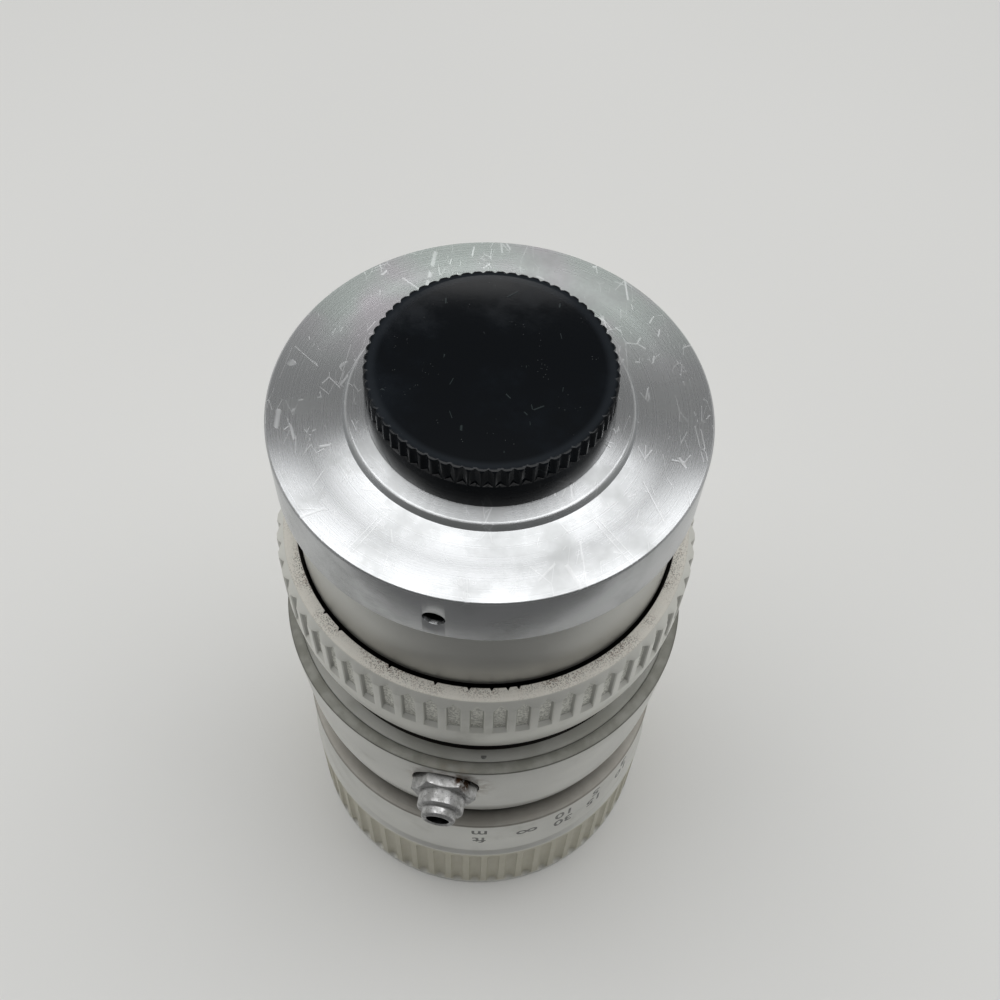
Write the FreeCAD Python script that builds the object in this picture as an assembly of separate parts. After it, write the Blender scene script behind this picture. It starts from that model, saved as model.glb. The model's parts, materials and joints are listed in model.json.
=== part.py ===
# Zoom lens with a screw mount at the rear, standing on its front rim.
# Frame: +Z up from the front rim to the rear cap, origin on the optical axis at the front rim.
# Angles called "turn" are measured about +Z from the -Y side, where the lens faces the viewer.
import FreeCAD, Part
import math
import os

from FreeCAD import Vector

os.makedirs("parts", exist_ok=True)

# Clearances
ring_clearance = 0.10        # radial, between a turning ring and the barrel under it
slide_clearance = 0.08       # radial, between a sliding cell and its tube
seat_clearance = 0.05        # radial, between two fixed pieces that are screwed together
thrust_clearance = 0.10      # along the axis, between a turning ring and its stop
pin_clearance = 0.08         # radial, around a pin in its slot
face_gap = 0.05              # along the axis, between two pieces stacked in a barrel
stack_gap = 0.10             # along the axis, between a barrel end and the iris housing
tube_clearance = 0.15        # radial, between a tube and the barrel it turns or slides in
fine_bevel = 0.2             # on an edge that meets the hand

# Focus ring: fluted grip at the front, plain scale band behind it
grip_rise = 0.57
grip_length = 18.5
grip_flutes = 60
flute_radius = 1.25
flute_depth = 0.75
flute_end_margin = 1.7
scale_wall = 3.58
scale_length = 14.2
grip_step_height = 0.9
front_chamfer = 0.35
filter_radius = 27.5
filter_thread_length = 4.0
filter_relief = 0.6
flute_tip_radius = 0.2
focus_wall_at_cell = 2.3

# Main barrel and its stops
barrel_radius = 27.35
barrel_wall = 1.75
barrel_length_at_front = 16.8
stop_flange_reach = 0.75
stop_flange_height = 1.0
spigot_wall = 0.95
spigot_length = 6.0
cam_seat_height = 0.7
cam_seat_depth = 1.35
focus_stop_clearance = 0.23
focus_stop_height = 1.4
focus_stop_step = 0.3

# Zoom ring
zoom_wall = 4.42
zoom_ring_length = 27.0
zoom_taper_length = 13.8
zoom_taper = 0.77
zoom_foot_wall = 0.85
zoom_foot_sag = 0.52
zoom_edge = 0.3
zoom_rim_wall = 1.81
zoom_rim_rise = 0.3
zoom_travel_deg = 90.0

# Index ring between the zoom ring and the aperture ring
index_height = 3.7
index_rise = 0.8
index_fall = 0.5
index_collar_wall = 0.5
index_collar_height = 1.2
barrel_drop = 0.8

# Zoom lever socket: hexagon, two round steps and a threaded hole
lever_turn_deg = -9.2
lever_height = 19.8
spot_face_radius = 5.3
spot_face_depth = 1.2
hex_across = 8.8
hex_height = 3.1
socket_step_radius = 3.6
socket_step_height = 2.4
socket_tip_radius = 2.65
socket_tip_height = 1.5
socket_hole_radius = 1.75
socket_hole_depth = 5.0
lever_stud_radius = 1.4
hex_crown_height = 1.0
hex_crown_reach = 0.9
hex_crown_inset = 0.1
socket_tip_chamfer = 0.3

# Cam tube and guide tube
cam_wall = 1.45
cam_end_gap = 0.5
cam_lead_in = 1.3
guide_wall = 1.5
guide_flange_height = 1.5
follower_radius = 1.0
follower_count = 3
follower_depth = 1.4
slot_end_relief = 0.05

# Moving lens groups
variator_pin_height = 4.0
variator_travel = 14.0
variator_length = 8.0
compensator_pin_drop = 4.6
compensator_travel = -4.0
compensator_length = 7.0
cell_wall = 2.4
cell_lip = 1.0
compensator_turn_deg = 60.0
pin_share = 0.42
variator_glass_thickness = 4.0
variator_front_hollow = 1.5
variator_rear_hollow = 0.6
compensator_glass_thickness = 4.5
compensator_front_bulge = 1.2
compensator_rear_bulge = 0.6

# Front lens group
front_stop_gap = 0.4
front_thread_gap = 1.1
front_group_gap = 1.5
front_skirt_wall = 2.0
front_lens_thickness = 8.0
front_lens_front_bulge = 1.8
front_lens_rear_bulge = 0.8
front_cell_ledge = 1.5
second_lens_wall = 4.4
second_lens_lip = 1.2
second_lens_thickness = 4.0
second_lens_front_bulge = 0.7
second_lens_rear_hollow = 0.9
front_keeper_height = 1.6
front_keeper_wall = 1.6
rear_keeper_wall = 1.8
rear_keeper_height = 1.4
focus_travel = 3.0
key_radius = 1.0
key_head_radius = 1.7
key_height = 8.0
key_sink_depth = 0.8
key_head_drop = 0.1
key_reach = 1.2
key_slot_depth = 1.4
key_slot_margin = 0.5

# Rear barrel
rear_barrel_length = 38.4
rear_bore_wall = 1.5
iris_bore_wall = 2.75
iris_end_gap = 0.18
iris_ledge_depth = 1.3
iris_ledge_height = 1.5
mount_spigot_step = 3.35
mount_spigot_length = 5.9

# Aperture ring
aperture_ring_length = 20.8
aperture_wall = 3.45
aperture_chamfer_width = 1.1
aperture_lip_step = 0.45
aperture_lip_depth = 2.0
aperture_chamfer_height = 1.05
aperture_top_fall = 0.3
aperture_crest_length = 6.45
aperture_foot_wall = 0.65
aperture_foot_sag = 0.70
aperture_slots = 60
aperture_slot_width = 2.15
aperture_slot_floor = 1.55
aperture_slot_depth = 0.7
aperture_slot_length = 8.9
aperture_slot_runout = 0.9
aperture_slot_shoulder_drop = 1.25
aperture_slot_point = 0.5
aperture_slot_phase = -0.8
aperture_travel_deg = 45.0
nick_turns_deg = (-52.0, -45.0, -26.5, -12.7, -3.3, 3.0, 7.5, 10.5)
nick_width = 1.1
nick_depth = 0.5

# Iris mechanism
iris_blades = 6
iris_opening = 9.4
iris_plate_height = 1.0
iris_rim_wall = 1.5
blade_pivot_margin = 5.5
blade_outer_margin = 1.1
blade_span_deg = 105.0
blade_thickness = 0.12
blade_pitch = 0.17
blade_eye_radius = 1.6
blade_pin_radius = 0.6
blade_pin_clearance = 0.04
blade_rest_gap = 0.03
blade_edge_gap = 0.1
blade_top_gap = 0.1
blade_pin_end_gap = 0.2
blade_arm_width = 2.0
blade_arm_eye_wall = 0.6
blade_root_length = 3.2
blade_root_width = 3.0
blade_root_reach = 3.6
blade_root_drop = 0.6
blade_arm_length = 4.5
blade_arm_deg = -70.0
blade_ratio = 0.6
drive_ring_height = 2.2
drive_ring_margin = 0.1
iris_cover_height = 1.0
iris_cover_bore = 12.0
drive_pin_radius = 0.7
drive_pin_depth = 1.9
drive_pin_seat = 1.1
drive_pin_lead_deg = 10.0

# Relay group at the rear
relay_end_margin = 1.85
relay_cell_wall = 5.4
relay_lens_thickness = 5.0
relay_lip = 1.5
relay_gap_length = 7.0
relay_keeper_height = 1.5
relay_keeper_wall = 2.5
relay_inner_front_bulge = 0.8
relay_inner_rear_bulge = 1.2
relay_outer_front_bulge = 1.0
relay_outer_rear_bulge = 1.4

# Mount adapter
mount_wall = 4.95
flange_height = 9.6
flange_chamfer = 0.25
shoulder_radius = 19.0
shoulder_height = 1.0
shoulder_bevel = 0.45
nose_radius = 12.7
nose_length = 4.0
nose_chamfer = 0.4
light_bore_radius = 11.0
mount_screws = 3
mount_screw_radius = 1.4
mount_screw_turn_deg = -11.9
mount_screw_drop = 5.2
mount_screw_sink = 1.6
hex_key_radius = 0.75
hex_key_depth = 1.4

# Rear cap
cap_radius = 15.95
cap_skirt_radius = 16.2
cap_height = 7.0
cap_roof = 1.6
cap_nose_clearance = 0.25
cap_teeth = 64
cap_tooth_depth = 0.5
cap_tooth_height = 3.0
cap_tooth_land = 0.22
cap_bevel = 0.45
cap_rim_width = 0.9
cap_rim_rise = 0.12


# Radii that follow from the sizes above, from the barrel outwards and inwards
ring_bore = barrel_radius + ring_clearance
scale_radius = ring_bore + scale_wall
grip_radius = scale_radius + grip_rise
chamber_radius = scale_radius - focus_wall_at_cell
focus_stop_radius = chamber_radius - focus_stop_clearance
stop_flange_radius = barrel_radius + stop_flange_reach
zoom_top_radius = ring_bore + zoom_wall
zoom_foot_radius = ring_bore + zoom_foot_wall
zoom_counterbore = zoom_top_radius - zoom_rim_wall
spot_face_floor = zoom_top_radius - zoom_taper / 2 - spot_face_depth
index_radius = zoom_counterbore - ring_clearance
index_collar_radius = barrel_radius + index_collar_wall
aperture_crest_radius = ring_bore + aperture_wall
aperture_top_radius = aperture_crest_radius - aperture_chamfer_width
aperture_lip_radius = ring_bore + aperture_lip_step
aperture_foot_radius = ring_bore + aperture_foot_wall
spigot_radius = barrel_radius - spigot_wall
barrel_bore = barrel_radius - barrel_wall
cam_radius = barrel_bore - tube_clearance
cam_bore = cam_radius - cam_wall
guide_radius = cam_bore - ring_clearance
guide_bore = guide_radius - guide_wall
cell_radius = guide_bore - slide_clearance
follower_reach = cam_radius - slide_clearance
front_skirt_radius = barrel_bore - tube_clearance
front_lens_radius = front_skirt_radius - front_skirt_wall - seat_clearance
front_keeper_bore = front_lens_radius - front_keeper_wall
second_lens_radius = front_skirt_radius - second_lens_wall - seat_clearance
mount_spigot_radius = barrel_radius - mount_spigot_step
rear_bore_radius = mount_spigot_radius - rear_bore_wall
iris_bore_radius = barrel_radius - iris_bore_wall
iris_ledge_radius = rear_bore_radius - iris_ledge_depth
iris_rim_radius = iris_bore_radius - ring_clearance
iris_rim_bore = iris_rim_radius - iris_rim_wall
blade_pivot_radius = iris_rim_bore - blade_pivot_margin
blade_outer_radius = blade_pivot_radius - blade_outer_margin
drive_ring_bore = blade_pivot_radius + drive_ring_margin
relay_outer_radius = rear_bore_radius - seat_clearance
relay_lens_radius = relay_outer_radius - relay_cell_wall - seat_clearance
relay_keeper_bore = relay_lens_radius - relay_keeper_wall
mount_socket_radius = mount_spigot_radius + seat_clearance
flange_radius = mount_socket_radius + mount_wall
mount_screw_length = flange_radius - mount_spigot_radius - mount_screw_sink

# Heights that follow from the sizes above
focus_top = grip_length + scale_length
flange_low = focus_top + thrust_clearance
flange_high = flange_low + stop_flange_height
barrel_start = flange_low - barrel_length_at_front
zoom_low = flange_high + thrust_clearance
zoom_high = zoom_low + zoom_ring_length
index_low = zoom_high - index_height + index_rise
index_high = index_low + index_height
collar_high = index_high + index_collar_height
barrel_top = collar_high - barrel_drop
aperture_low = collar_high + thrust_clearance
aperture_high = aperture_low + aperture_ring_length
rear_top = barrel_top + rear_barrel_length
flange_face = rear_top + flange_height
shoulder_face = flange_face + shoulder_height
nose_top = shoulder_face + nose_length
spigot_top = barrel_top + spigot_length
cam_low = flange_low - cam_lead_in
guide_high = spigot_top
guide_flange_low = guide_high - guide_flange_height
cam_high = guide_flange_low - cam_end_gap
variator_pin_z = cam_low + variator_pin_height
compensator_pin_z = cam_high - compensator_pin_drop
lever_z = zoom_low + lever_height
front_cell_high = cam_low - front_group_gap
front_cell_start = filter_thread_length + filter_relief + focus_travel + front_stop_gap
front_thread_high = barrel_start - focus_stop_height - front_thread_gap
iris_chamber_low = spigot_top + stack_gap
iris_low = iris_chamber_low + face_gap
plate_top = iris_low + iris_plate_height
drive_ring_low = plate_top + iris_blades * blade_pitch + blade_top_gap
drive_ring_high = drive_ring_low + drive_ring_height
drive_pin_z = drive_ring_low + drive_ring_height / 2
cover_low = drive_ring_high + face_gap
iris_ledge_low = cover_low + iris_cover_height + iris_end_gap
relay_low = iris_ledge_low + iris_ledge_height
relay_first = relay_low + relay_lip
relay_spacer_low = relay_first + relay_lens_thickness + face_gap
relay_second = relay_spacer_low + relay_gap_length + face_gap
relay_keeper_low = relay_second + relay_lens_thickness + face_gap
relay_high = relay_keeper_low + relay_keeper_height + relay_end_margin
front_glass_low = front_cell_start + front_keeper_height
front_ledge_low = front_glass_low + front_lens_thickness + face_gap
second_glass_low = front_ledge_low + front_cell_ledge
rear_keeper_low = second_glass_low + second_lens_thickness + face_gap


def turned(shape, degrees):
    """The shape turned about the optical axis."""
    copy = shape.copy()
    copy.rotate(Vector(0, 0, 0), Vector(0, 0, 1), degrees)
    return copy


def around(shape, count, start=0.0):
    """Evenly spaced copies about the optical axis."""
    return [turned(shape, start + 360.0 * i / count) for i in range(count)]


def revolve(edges_or_points):
    """A solid of revolution from a closed outline in the XZ plane."""
    if isinstance(edges_or_points[0], Part.Edge):
        wire = Part.Wire(edges_or_points)
    else:
        points = [Vector(r, 0, z) for r, z in edges_or_points]
        wire = Part.makePolygon(points + [points[0]])
    solid = Part.Face(wire).revolve(Vector(0, 0, 0), Vector(0, 0, 1), 360)
    return solid


def tube(outer, inner, low, high):
    """A plain ring between two radii and two heights."""
    return revolve([(inner, low), (outer, low), (outer, high), (inner, high)])


def radial_pin(radius, inner, outer, height, turn):
    """A round bar along a radius, at a height and a turn from the -Y side."""
    bar = Part.makeCylinder(radius, outer - inner, Vector(0, -inner, height), Vector(0, -1, 0))
    return turned(bar, turn)


def line(a, b):
    """A straight edge between two (radius, height) points."""
    return Part.LineSegment(Vector(a[0], 0, a[1]), Vector(b[0], 0, b[1])).toShape()


def bow(a, b, sag):
    """An arc between two (radius, height) points that bulges by sag to the right of its way."""
    middle = Vector((a[0] + b[0]) / 2, 0, (a[1] + b[1]) / 2)
    way = Vector(b[0] - a[0], 0, b[1] - a[1])
    side = Vector(way.z, 0, -way.x).normalize()
    return Part.Arc(Vector(a[0], 0, a[1]), middle + side * sag, Vector(b[0], 0, b[1])).toShape()


def lens(radius, low, thickness, sag_low, sag_high):
    """A glass element: edge cylinder with a spherical face at each end, bulging for a positive sag."""
    edge_low = low + max(sag_low, 0)
    edge_high = low + thickness - max(sag_high, 0)
    pole_low = edge_low - sag_low
    pole_high = edge_high + sag_high
    radius_low = (radius ** 2 + sag_low ** 2) / (2 * abs(sag_low))
    radius_high = (radius ** 2 + sag_high ** 2) / (2 * abs(sag_high))
    half = radius / 2
    drop_low = math.copysign(radius_low - math.sqrt(radius_low ** 2 - half ** 2), sag_low)
    drop_high = math.copysign(radius_high - math.sqrt(radius_high ** 2 - half ** 2), sag_high)
    low_arc = Part.Arc(Vector(0, 0, pole_low), Vector(half, 0, pole_low + drop_low),
                       Vector(radius, 0, edge_low))
    high_arc = Part.Arc(Vector(radius, 0, edge_high), Vector(half, 0, pole_high - drop_high),
                        Vector(0, 0, pole_high))
    return revolve([
        low_arc.toShape(),
        line((radius, edge_low), (radius, edge_high)),
        high_arc.toShape(),
        line((0, pole_high), (0, pole_low)),
    ])


def arc_slot(centre, radius, start, end, half_width, low, high):
    """A round-ended slot along an arc in a plate; start and end are angles in radians."""
    def at(r, angle):
        return Vector(centre.x + r * math.cos(angle), centre.y + r * math.sin(angle), low)
    middle = (start + end) / 2
    outer = radius + half_width
    inner = radius - half_width
    step = half_width / radius
    edges = [
        Part.Arc(at(outer, start), at(outer, middle), at(outer, end)),
        Part.Arc(at(outer, end), at(radius, end + step), at(inner, end)),
        Part.Arc(at(inner, end), at(inner, middle), at(inner, start)),
        Part.Arc(at(inner, start), at(radius, start - step), at(outer, start)),
    ]
    wire = Part.Wire([edge.toShape() for edge in edges])
    return Part.Face(wire).extrude(Vector(0, 0, high - low))


def ring_slot(pin_radius, inner, outer, height, start, end):
    """A slot round part of a barrel wall that lets a radial pin turn from start to end, in degrees."""
    band = Part.Face(Part.Wire(Part.makePolygon([
        Vector(inner, 0, height - pin_radius), Vector(outer, 0, height - pin_radius),
        Vector(outer, 0, height + pin_radius), Vector(inner, 0, height + pin_radius),
        Vector(inner, 0, height - pin_radius)])))
    sweep = band.revolve(Vector(0, 0, 0), Vector(0, 0, 1), end - start)
    sweep = turned(sweep, start - 90)
    return [sweep, radial_pin(pin_radius, inner, outer, height, start),
            radial_pin(pin_radius, inner, outer, height, end)]


def helical_slot(half_width, inner, outer, height, rise, turn, sweep_deg):
    """Slot through a tube wall along a helix of constant lead, with a round end at each pin place."""
    lead = abs(rise) * 360.0 / abs(sweep_deg)
    middle = (inner + outer) / 2
    path = Part.makeHelix(lead, abs(rise), middle)
    slope = math.atan2(lead, 2 * math.pi * middle)
    corners = []
    for across, out in ((-1, inner), (1, inner), (1, outer), (-1, outer)):
        shift = across * half_width
        corners.append(Vector(out, -shift * math.sin(slope), shift * math.cos(slope)))
    profile = Part.makePolygon(corners + [corners[0]])
    sweep = Part.Wire(path).makePipeShell([profile], True, True)
    if rise < 0:
        sweep = sweep.mirror(Vector(0, 0, 0), Vector(0, 0, 1))
    if sweep_deg < 0:
        sweep = sweep.mirror(Vector(0, 0, 0), Vector(0, 1, 0))
    if sweep.Volume < 0:
        sweep.reverse()
    sweep = turned(sweep, turn - 90)
    sweep.translate(Vector(0, 0, height))
    relief = half_width + slot_end_relief
    return [sweep, radial_pin(relief, inner, outer, height, turn),
            radial_pin(relief, inner, outer, height + rise, turn + sweep_deg)]


def export(name, shape):
    """Check a sub-part and write it."""
    solids = shape.Solids
    if not shape.isValid() or not solids:
        raise RuntimeError("bad solid: " + name)
    shape.exportStep("parts/" + name + ".step")
    print(name, len(solids), "volume", round(shape.Volume, 1))


def grip_flute():
    """One rounded flute of the front grip, cut along the axis with a sloped upper end."""
    low = flute_end_margin
    high = grip_length - flute_end_margin
    centre = grip_radius - flute_depth + flute_radius
    cutter = Part.makeCylinder(flute_radius, high - low, Vector(0, -centre, low))
    top = Part.makeCone(flute_radius, flute_tip_radius, flute_radius, Vector(0, -centre, high))
    bottom = Part.makeCone(flute_tip_radius, flute_radius, flute_radius,
                           Vector(0, -centre, low - flute_radius))
    return cutter.fuse([top, bottom]).removeSplitter()


def make_focus_ring():
    """Focus ring: filter thread lip, chamber for the front cell, bore on the barrel, grip and scale."""
    body = revolve([
        (filter_radius, 0), (grip_radius - front_chamfer, 0), (grip_radius, front_chamfer),
        (grip_radius, grip_length), (scale_radius, grip_length + grip_step_height),
        (scale_radius, focus_top - fine_bevel), (scale_radius - fine_bevel, focus_top),
        (ring_bore, focus_top), (ring_bore, barrel_start), (chamber_radius, barrel_start),
        (chamber_radius, filter_thread_length + filter_relief), (filter_radius, filter_thread_length),
    ])
    return body.cut(around(grip_flute(), grip_flutes))


def make_main_barrel():
    """Fixed barrel that carries the rings and the cam tube."""
    seat_bore = cam_radius - cam_seat_depth
    seat_high = cam_low - face_gap
    seat_low = seat_high - cam_seat_height
    body = revolve([
        (barrel_bore, barrel_start), (barrel_radius, barrel_start), (barrel_radius, flange_low),
        (stop_flange_radius, flange_low), (stop_flange_radius, flange_high), (barrel_radius, flange_high),
        (barrel_radius, barrel_top), (spigot_radius, barrel_top), (spigot_radius, spigot_top),
        (barrel_bore, spigot_top), (barrel_bore, seat_high), (seat_bore, seat_high), (seat_bore, seat_low),
        (barrel_bore, seat_low),
    ])
    wall_in = seat_bore - 1
    wall_out = barrel_radius + 1
    lever_slot = ring_slot(lever_stud_radius + pin_clearance, wall_in, wall_out, lever_z,
                           lever_turn_deg, lever_turn_deg + zoom_travel_deg)
    key_z = barrel_start + key_height
    key_hole = radial_pin(key_radius + seat_clearance, wall_in, wall_out, key_z, 180)
    sink_low = barrel_radius - key_sink_depth
    key_sink = radial_pin(key_head_radius + seat_clearance, sink_low, wall_out, key_z, 180)
    return body.cut(lever_slot + [key_hole, key_sink])


def make_key_screw():
    """Screw whose tip keeps the front cell from turning."""
    key_z = barrel_start + key_height
    seat = barrel_radius - key_sink_depth
    tip = radial_pin(key_radius, front_skirt_radius - key_reach, seat, key_z, 180)
    head = radial_pin(key_head_radius, seat, barrel_radius - key_head_drop, key_z, 180)
    return tip.fuse(head).removeSplitter()


def make_focus_stop():
    """Ring screwed on the front end of the barrel that keeps the focus ring on."""
    low = barrel_start - focus_stop_height
    high = barrel_start - thrust_clearance
    neck = barrel_radius - focus_stop_step
    return revolve([
        (barrel_bore, low), (focus_stop_radius, low), (focus_stop_radius, high), (neck, high),
        (neck, barrel_start), (barrel_bore, barrel_start),
    ])


def make_zoom_ring():
    """Zoom ring with a tapering side, a rounded foot and a spot face for the lever socket."""
    side_low = zoom_high - zoom_taper_length
    rim_high = zoom_high + zoom_rim_rise
    side_radius = zoom_top_radius - zoom_taper
    inner_low = index_low - thrust_clearance
    outline = [
        line((ring_bore, zoom_low), (zoom_foot_radius, zoom_low)),
        bow((zoom_foot_radius, zoom_low), (side_radius, side_low), zoom_foot_sag),
        line((side_radius, side_low), (zoom_top_radius, zoom_high - zoom_edge)),
        line((zoom_top_radius, zoom_high - zoom_edge), (zoom_top_radius - zoom_edge, zoom_high)),
        line((zoom_top_radius - zoom_edge, zoom_high), (zoom_counterbore, rim_high)),
        line((zoom_counterbore, rim_high), (zoom_counterbore, inner_low)),
        line((zoom_counterbore, inner_low), (ring_bore, inner_low)),
        line((ring_bore, inner_low), (ring_bore, zoom_low)),
    ]
    body = revolve(outline)
    spot = radial_pin(spot_face_radius, spot_face_floor, zoom_top_radius + 1, lever_z, lever_turn_deg)
    stud_hole = radial_pin(lever_stud_radius + seat_clearance, ring_bore - 1, spot_face_floor + 1,
                           lever_z, lever_turn_deg)
    return body.cut([spot, stud_hole])


def bar_out(radius, inner, outer):
    """A round bar at the lever's height, pointing to -Y."""
    return Part.makeCylinder(radius, outer - inner, Vector(0, -inner, lever_z), Vector(0, -1, 0))


def make_lever_socket():
    """Stepped socket that carried the zoom lever, with the stud that turns the cam tube."""
    hex_face = spot_face_floor + hex_height
    step_face = hex_face + socket_step_height
    tip_face = step_face + socket_tip_height
    reach = hex_across / 2 / math.cos(math.radians(30))
    corners = []
    for i in range(7):
        angle = math.radians(60 * i + 30)
        corners.append(Vector(reach * math.cos(angle), -spot_face_floor, lever_z + reach * math.sin(angle)))
    hexagon = Part.Face(Part.makePolygon(corners)).extrude(Vector(0, -hex_height, 0))
    crown_low = hex_face - hex_crown_height
    crown = Part.makeCone(hex_across / 2 + hex_crown_reach, hex_across / 2 - hex_crown_inset,
                          hex_crown_height, Vector(0, -crown_low, lever_z), Vector(0, -1, 0))
    hexagon = hexagon.common(bar_out(hex_across, spot_face_floor, crown_low).fuse(crown))
    step = bar_out(socket_step_radius, hex_face, step_face)
    tip = bar_out(socket_tip_radius, step_face, tip_face)
    rounded = [edge for edge in tip.Edges if abs(edge.CenterOfMass.y + tip_face) < face_gap / 5]
    tip = tip.makeChamfer(socket_tip_chamfer, rounded)
    stud = bar_out(lever_stud_radius, cam_bore + slide_clearance, spot_face_floor)
    hole = bar_out(socket_hole_radius, tip_face - socket_hole_depth, tip_face)
    body = hexagon.fuse([step, tip, stud]).cut(hole).removeSplitter()
    return turned(body, lever_turn_deg)


def make_index_ring():
    """Fixed ring with a gently falling top face and the collar under the aperture ring."""
    inner = barrel_radius + seat_clearance
    return revolve([
        (inner, index_low), (index_radius, index_low), (index_radius, index_high - index_fall),
        (index_collar_radius, index_high), (index_collar_radius, collar_high), (inner, collar_high),
    ])


def make_cam_tube():
    """Cam tube with a steep and a shallow set of helical slots and a hole for the lever stud."""
    body = tube(cam_radius, cam_bore, cam_low, cam_high)
    inner = cam_bore - cam_wall / 2
    outer = cam_radius + cam_wall / 2
    half = follower_radius + pin_clearance
    cutters = []
    for i in range(follower_count):
        turn = 360.0 * i / follower_count
        cutters += helical_slot(half, inner, outer, variator_pin_z, variator_travel, turn, -zoom_travel_deg)
        cutters += helical_slot(half, inner, outer, compensator_pin_z, compensator_travel,
                                turn + compensator_turn_deg, -zoom_travel_deg)
    cutters.append(radial_pin(lever_stud_radius + seat_clearance, inner, outer, lever_z, lever_turn_deg))
    for cutter in cutters:
        body = body.cut(cutter)
    return body


def guide_slot(low, high, turn):
    """Straight round-ended slot along the guide tube."""
    half = follower_radius + pin_clearance
    inner = guide_bore - 1
    outer = guide_radius + 1
    box = Part.makeBox(2 * half, outer - inner, high - low, Vector(-half, -outer, low))
    ends = [radial_pin(half, inner, outer, low, 0), radial_pin(half, inner, outer, high, 0)]
    return [turned(piece, turn) for piece in [box] + ends]


def make_guide_tube():
    """Fixed guide tube with straight slots that stop the cells from turning."""
    seat = barrel_bore - seat_clearance
    body = revolve([
        (guide_bore, cam_low), (guide_radius, cam_low), (guide_radius, guide_flange_low),
        (seat, guide_flange_low), (seat, guide_high), (guide_bore, guide_high),
    ])
    for i in range(follower_count):
        turn = 360.0 * i / follower_count
        body = body.cut(guide_slot(variator_pin_z, variator_pin_z + variator_travel, turn))
        body = body.cut(guide_slot(compensator_pin_z + compensator_travel, compensator_pin_z,
                                   turn + compensator_turn_deg))
    return body


def moving_cell(pin_z, length, turn):
    """A lens cell with a lip at its lower end and holes for its follower pins."""
    low = pin_z - length * pin_share
    high = low + length
    glass_radius = cell_radius - cell_wall
    body = revolve([
        (glass_radius - cell_lip, low), (cell_radius, low), (cell_radius, high), (glass_radius, high),
        (glass_radius, low + cell_lip), (glass_radius - cell_lip, low + cell_lip),
    ])
    hole = radial_pin(follower_radius + seat_clearance, cell_radius - follower_depth, cell_radius + 1,
                      pin_z, turn)
    return body.cut(around(hole, follower_count)), low, glass_radius - seat_clearance


def follower_pins(pin_z, turn):
    """The follower pins of one cell, through the guide slots into the cam slots."""
    pin = radial_pin(follower_radius, cell_radius - follower_depth, follower_reach, pin_z, turn)
    return Part.makeCompound(around(pin, follower_count))


def make_front_cell():
    """Front cell: threaded flange in the focus ring, keyed skirt in the barrel, two lens seats."""
    flange = chamber_radius - ring_clearance
    bore = front_lens_radius + seat_clearance
    second_bore = second_lens_radius + seat_clearance
    lip = second_lens_radius - second_lens_lip
    body = revolve([
        (bore, front_cell_start), (flange, front_cell_start), (flange, front_thread_high),
        (front_skirt_radius, front_thread_high), (front_skirt_radius, front_cell_high),
        (second_bore, front_cell_high), (second_bore, second_glass_low), (lip, second_glass_low),
        (lip, front_ledge_low), (bore, front_ledge_low),
    ])
    half = key_radius + pin_clearance
    slot_low = front_thread_high + key_slot_margin
    slot = Part.makeBox(2 * half, 2 * key_slot_depth, front_cell_high - slot_low + 1,
                        Vector(-half, front_skirt_radius - key_slot_depth, slot_low))
    return body.cut(slot)


def make_rear_barrel():
    """Rear barrel: socket for the main barrel, iris chamber, ledge, relay bore and adapter spigot."""
    counterbore = spigot_radius + seat_clearance
    body = revolve([
        (counterbore, barrel_top), (barrel_radius, barrel_top), (barrel_radius, rear_top),
        (mount_spigot_radius, rear_top), (mount_spigot_radius, rear_top + mount_spigot_length),
        (rear_bore_radius, rear_top + mount_spigot_length), (rear_bore_radius, relay_low),
        (iris_ledge_radius, relay_low), (iris_ledge_radius, iris_ledge_low),
        (iris_bore_radius, iris_ledge_low),
        (iris_bore_radius, iris_chamber_low), (counterbore, iris_chamber_low),
    ])
    return body.cut(drive_pin_slot())


def drive_pin_turn():
    """Turn of the aperture drive pin at rest, between two cam slots of the drive ring."""
    arm_end = blade_arm_point(0.0)
    return math.degrees(math.atan2(arm_end.y, arm_end.x)) + drive_pin_lead_deg + 360.0 / iris_blades + 90


def drive_pin_slot():
    """Slot that the aperture drive pin travels in, through the iris rim and the rear barrel."""
    start = drive_pin_turn()
    return ring_slot(drive_pin_radius + pin_clearance, iris_rim_bore - iris_rim_wall / 3, barrel_radius + 1,
                     drive_pin_z, start, start + aperture_travel_deg)


def aperture_slot():
    """One flat-floored grip slot with sloped sides, a pointed top and a sloped foot."""
    floor = aperture_crest_radius - aperture_slot_depth
    foot = aperture_high - aperture_slot_length + aperture_slot_runout
    shoulder = aperture_high - aperture_slot_shoulder_drop
    peak = shoulder + aperture_slot_point

    def section(share):
        half = (aperture_slot_floor + share * (aperture_slot_width - aperture_slot_floor)) / 2
        y = -floor - share * aperture_slot_depth
        low = foot - share * aperture_slot_runout
        return Part.makePolygon([
            Vector(-half, y, low), Vector(half, y, low), Vector(half, y, shoulder), Vector(0, y, peak),
            Vector(-half, y, shoulder), Vector(-half, y, low)])
    return Part.makeLoft([section(0), section(2)], True, True)


def aperture_nick():
    """One V nick in the inner edge of the ring's top face."""
    inner = aperture_lip_radius - nick_depth / 2
    outer = aperture_lip_radius + nick_depth
    top = aperture_high + 1
    wedge = Part.Face(Part.makePolygon([
        Vector(-nick_width / 2, -inner, top), Vector(nick_width / 2, -inner, top),
        Vector(0, -outer, top), Vector(-nick_width / 2, -inner, top)]))
    return wedge.extrude(Vector(0, 0, -1 - nick_depth))


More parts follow.
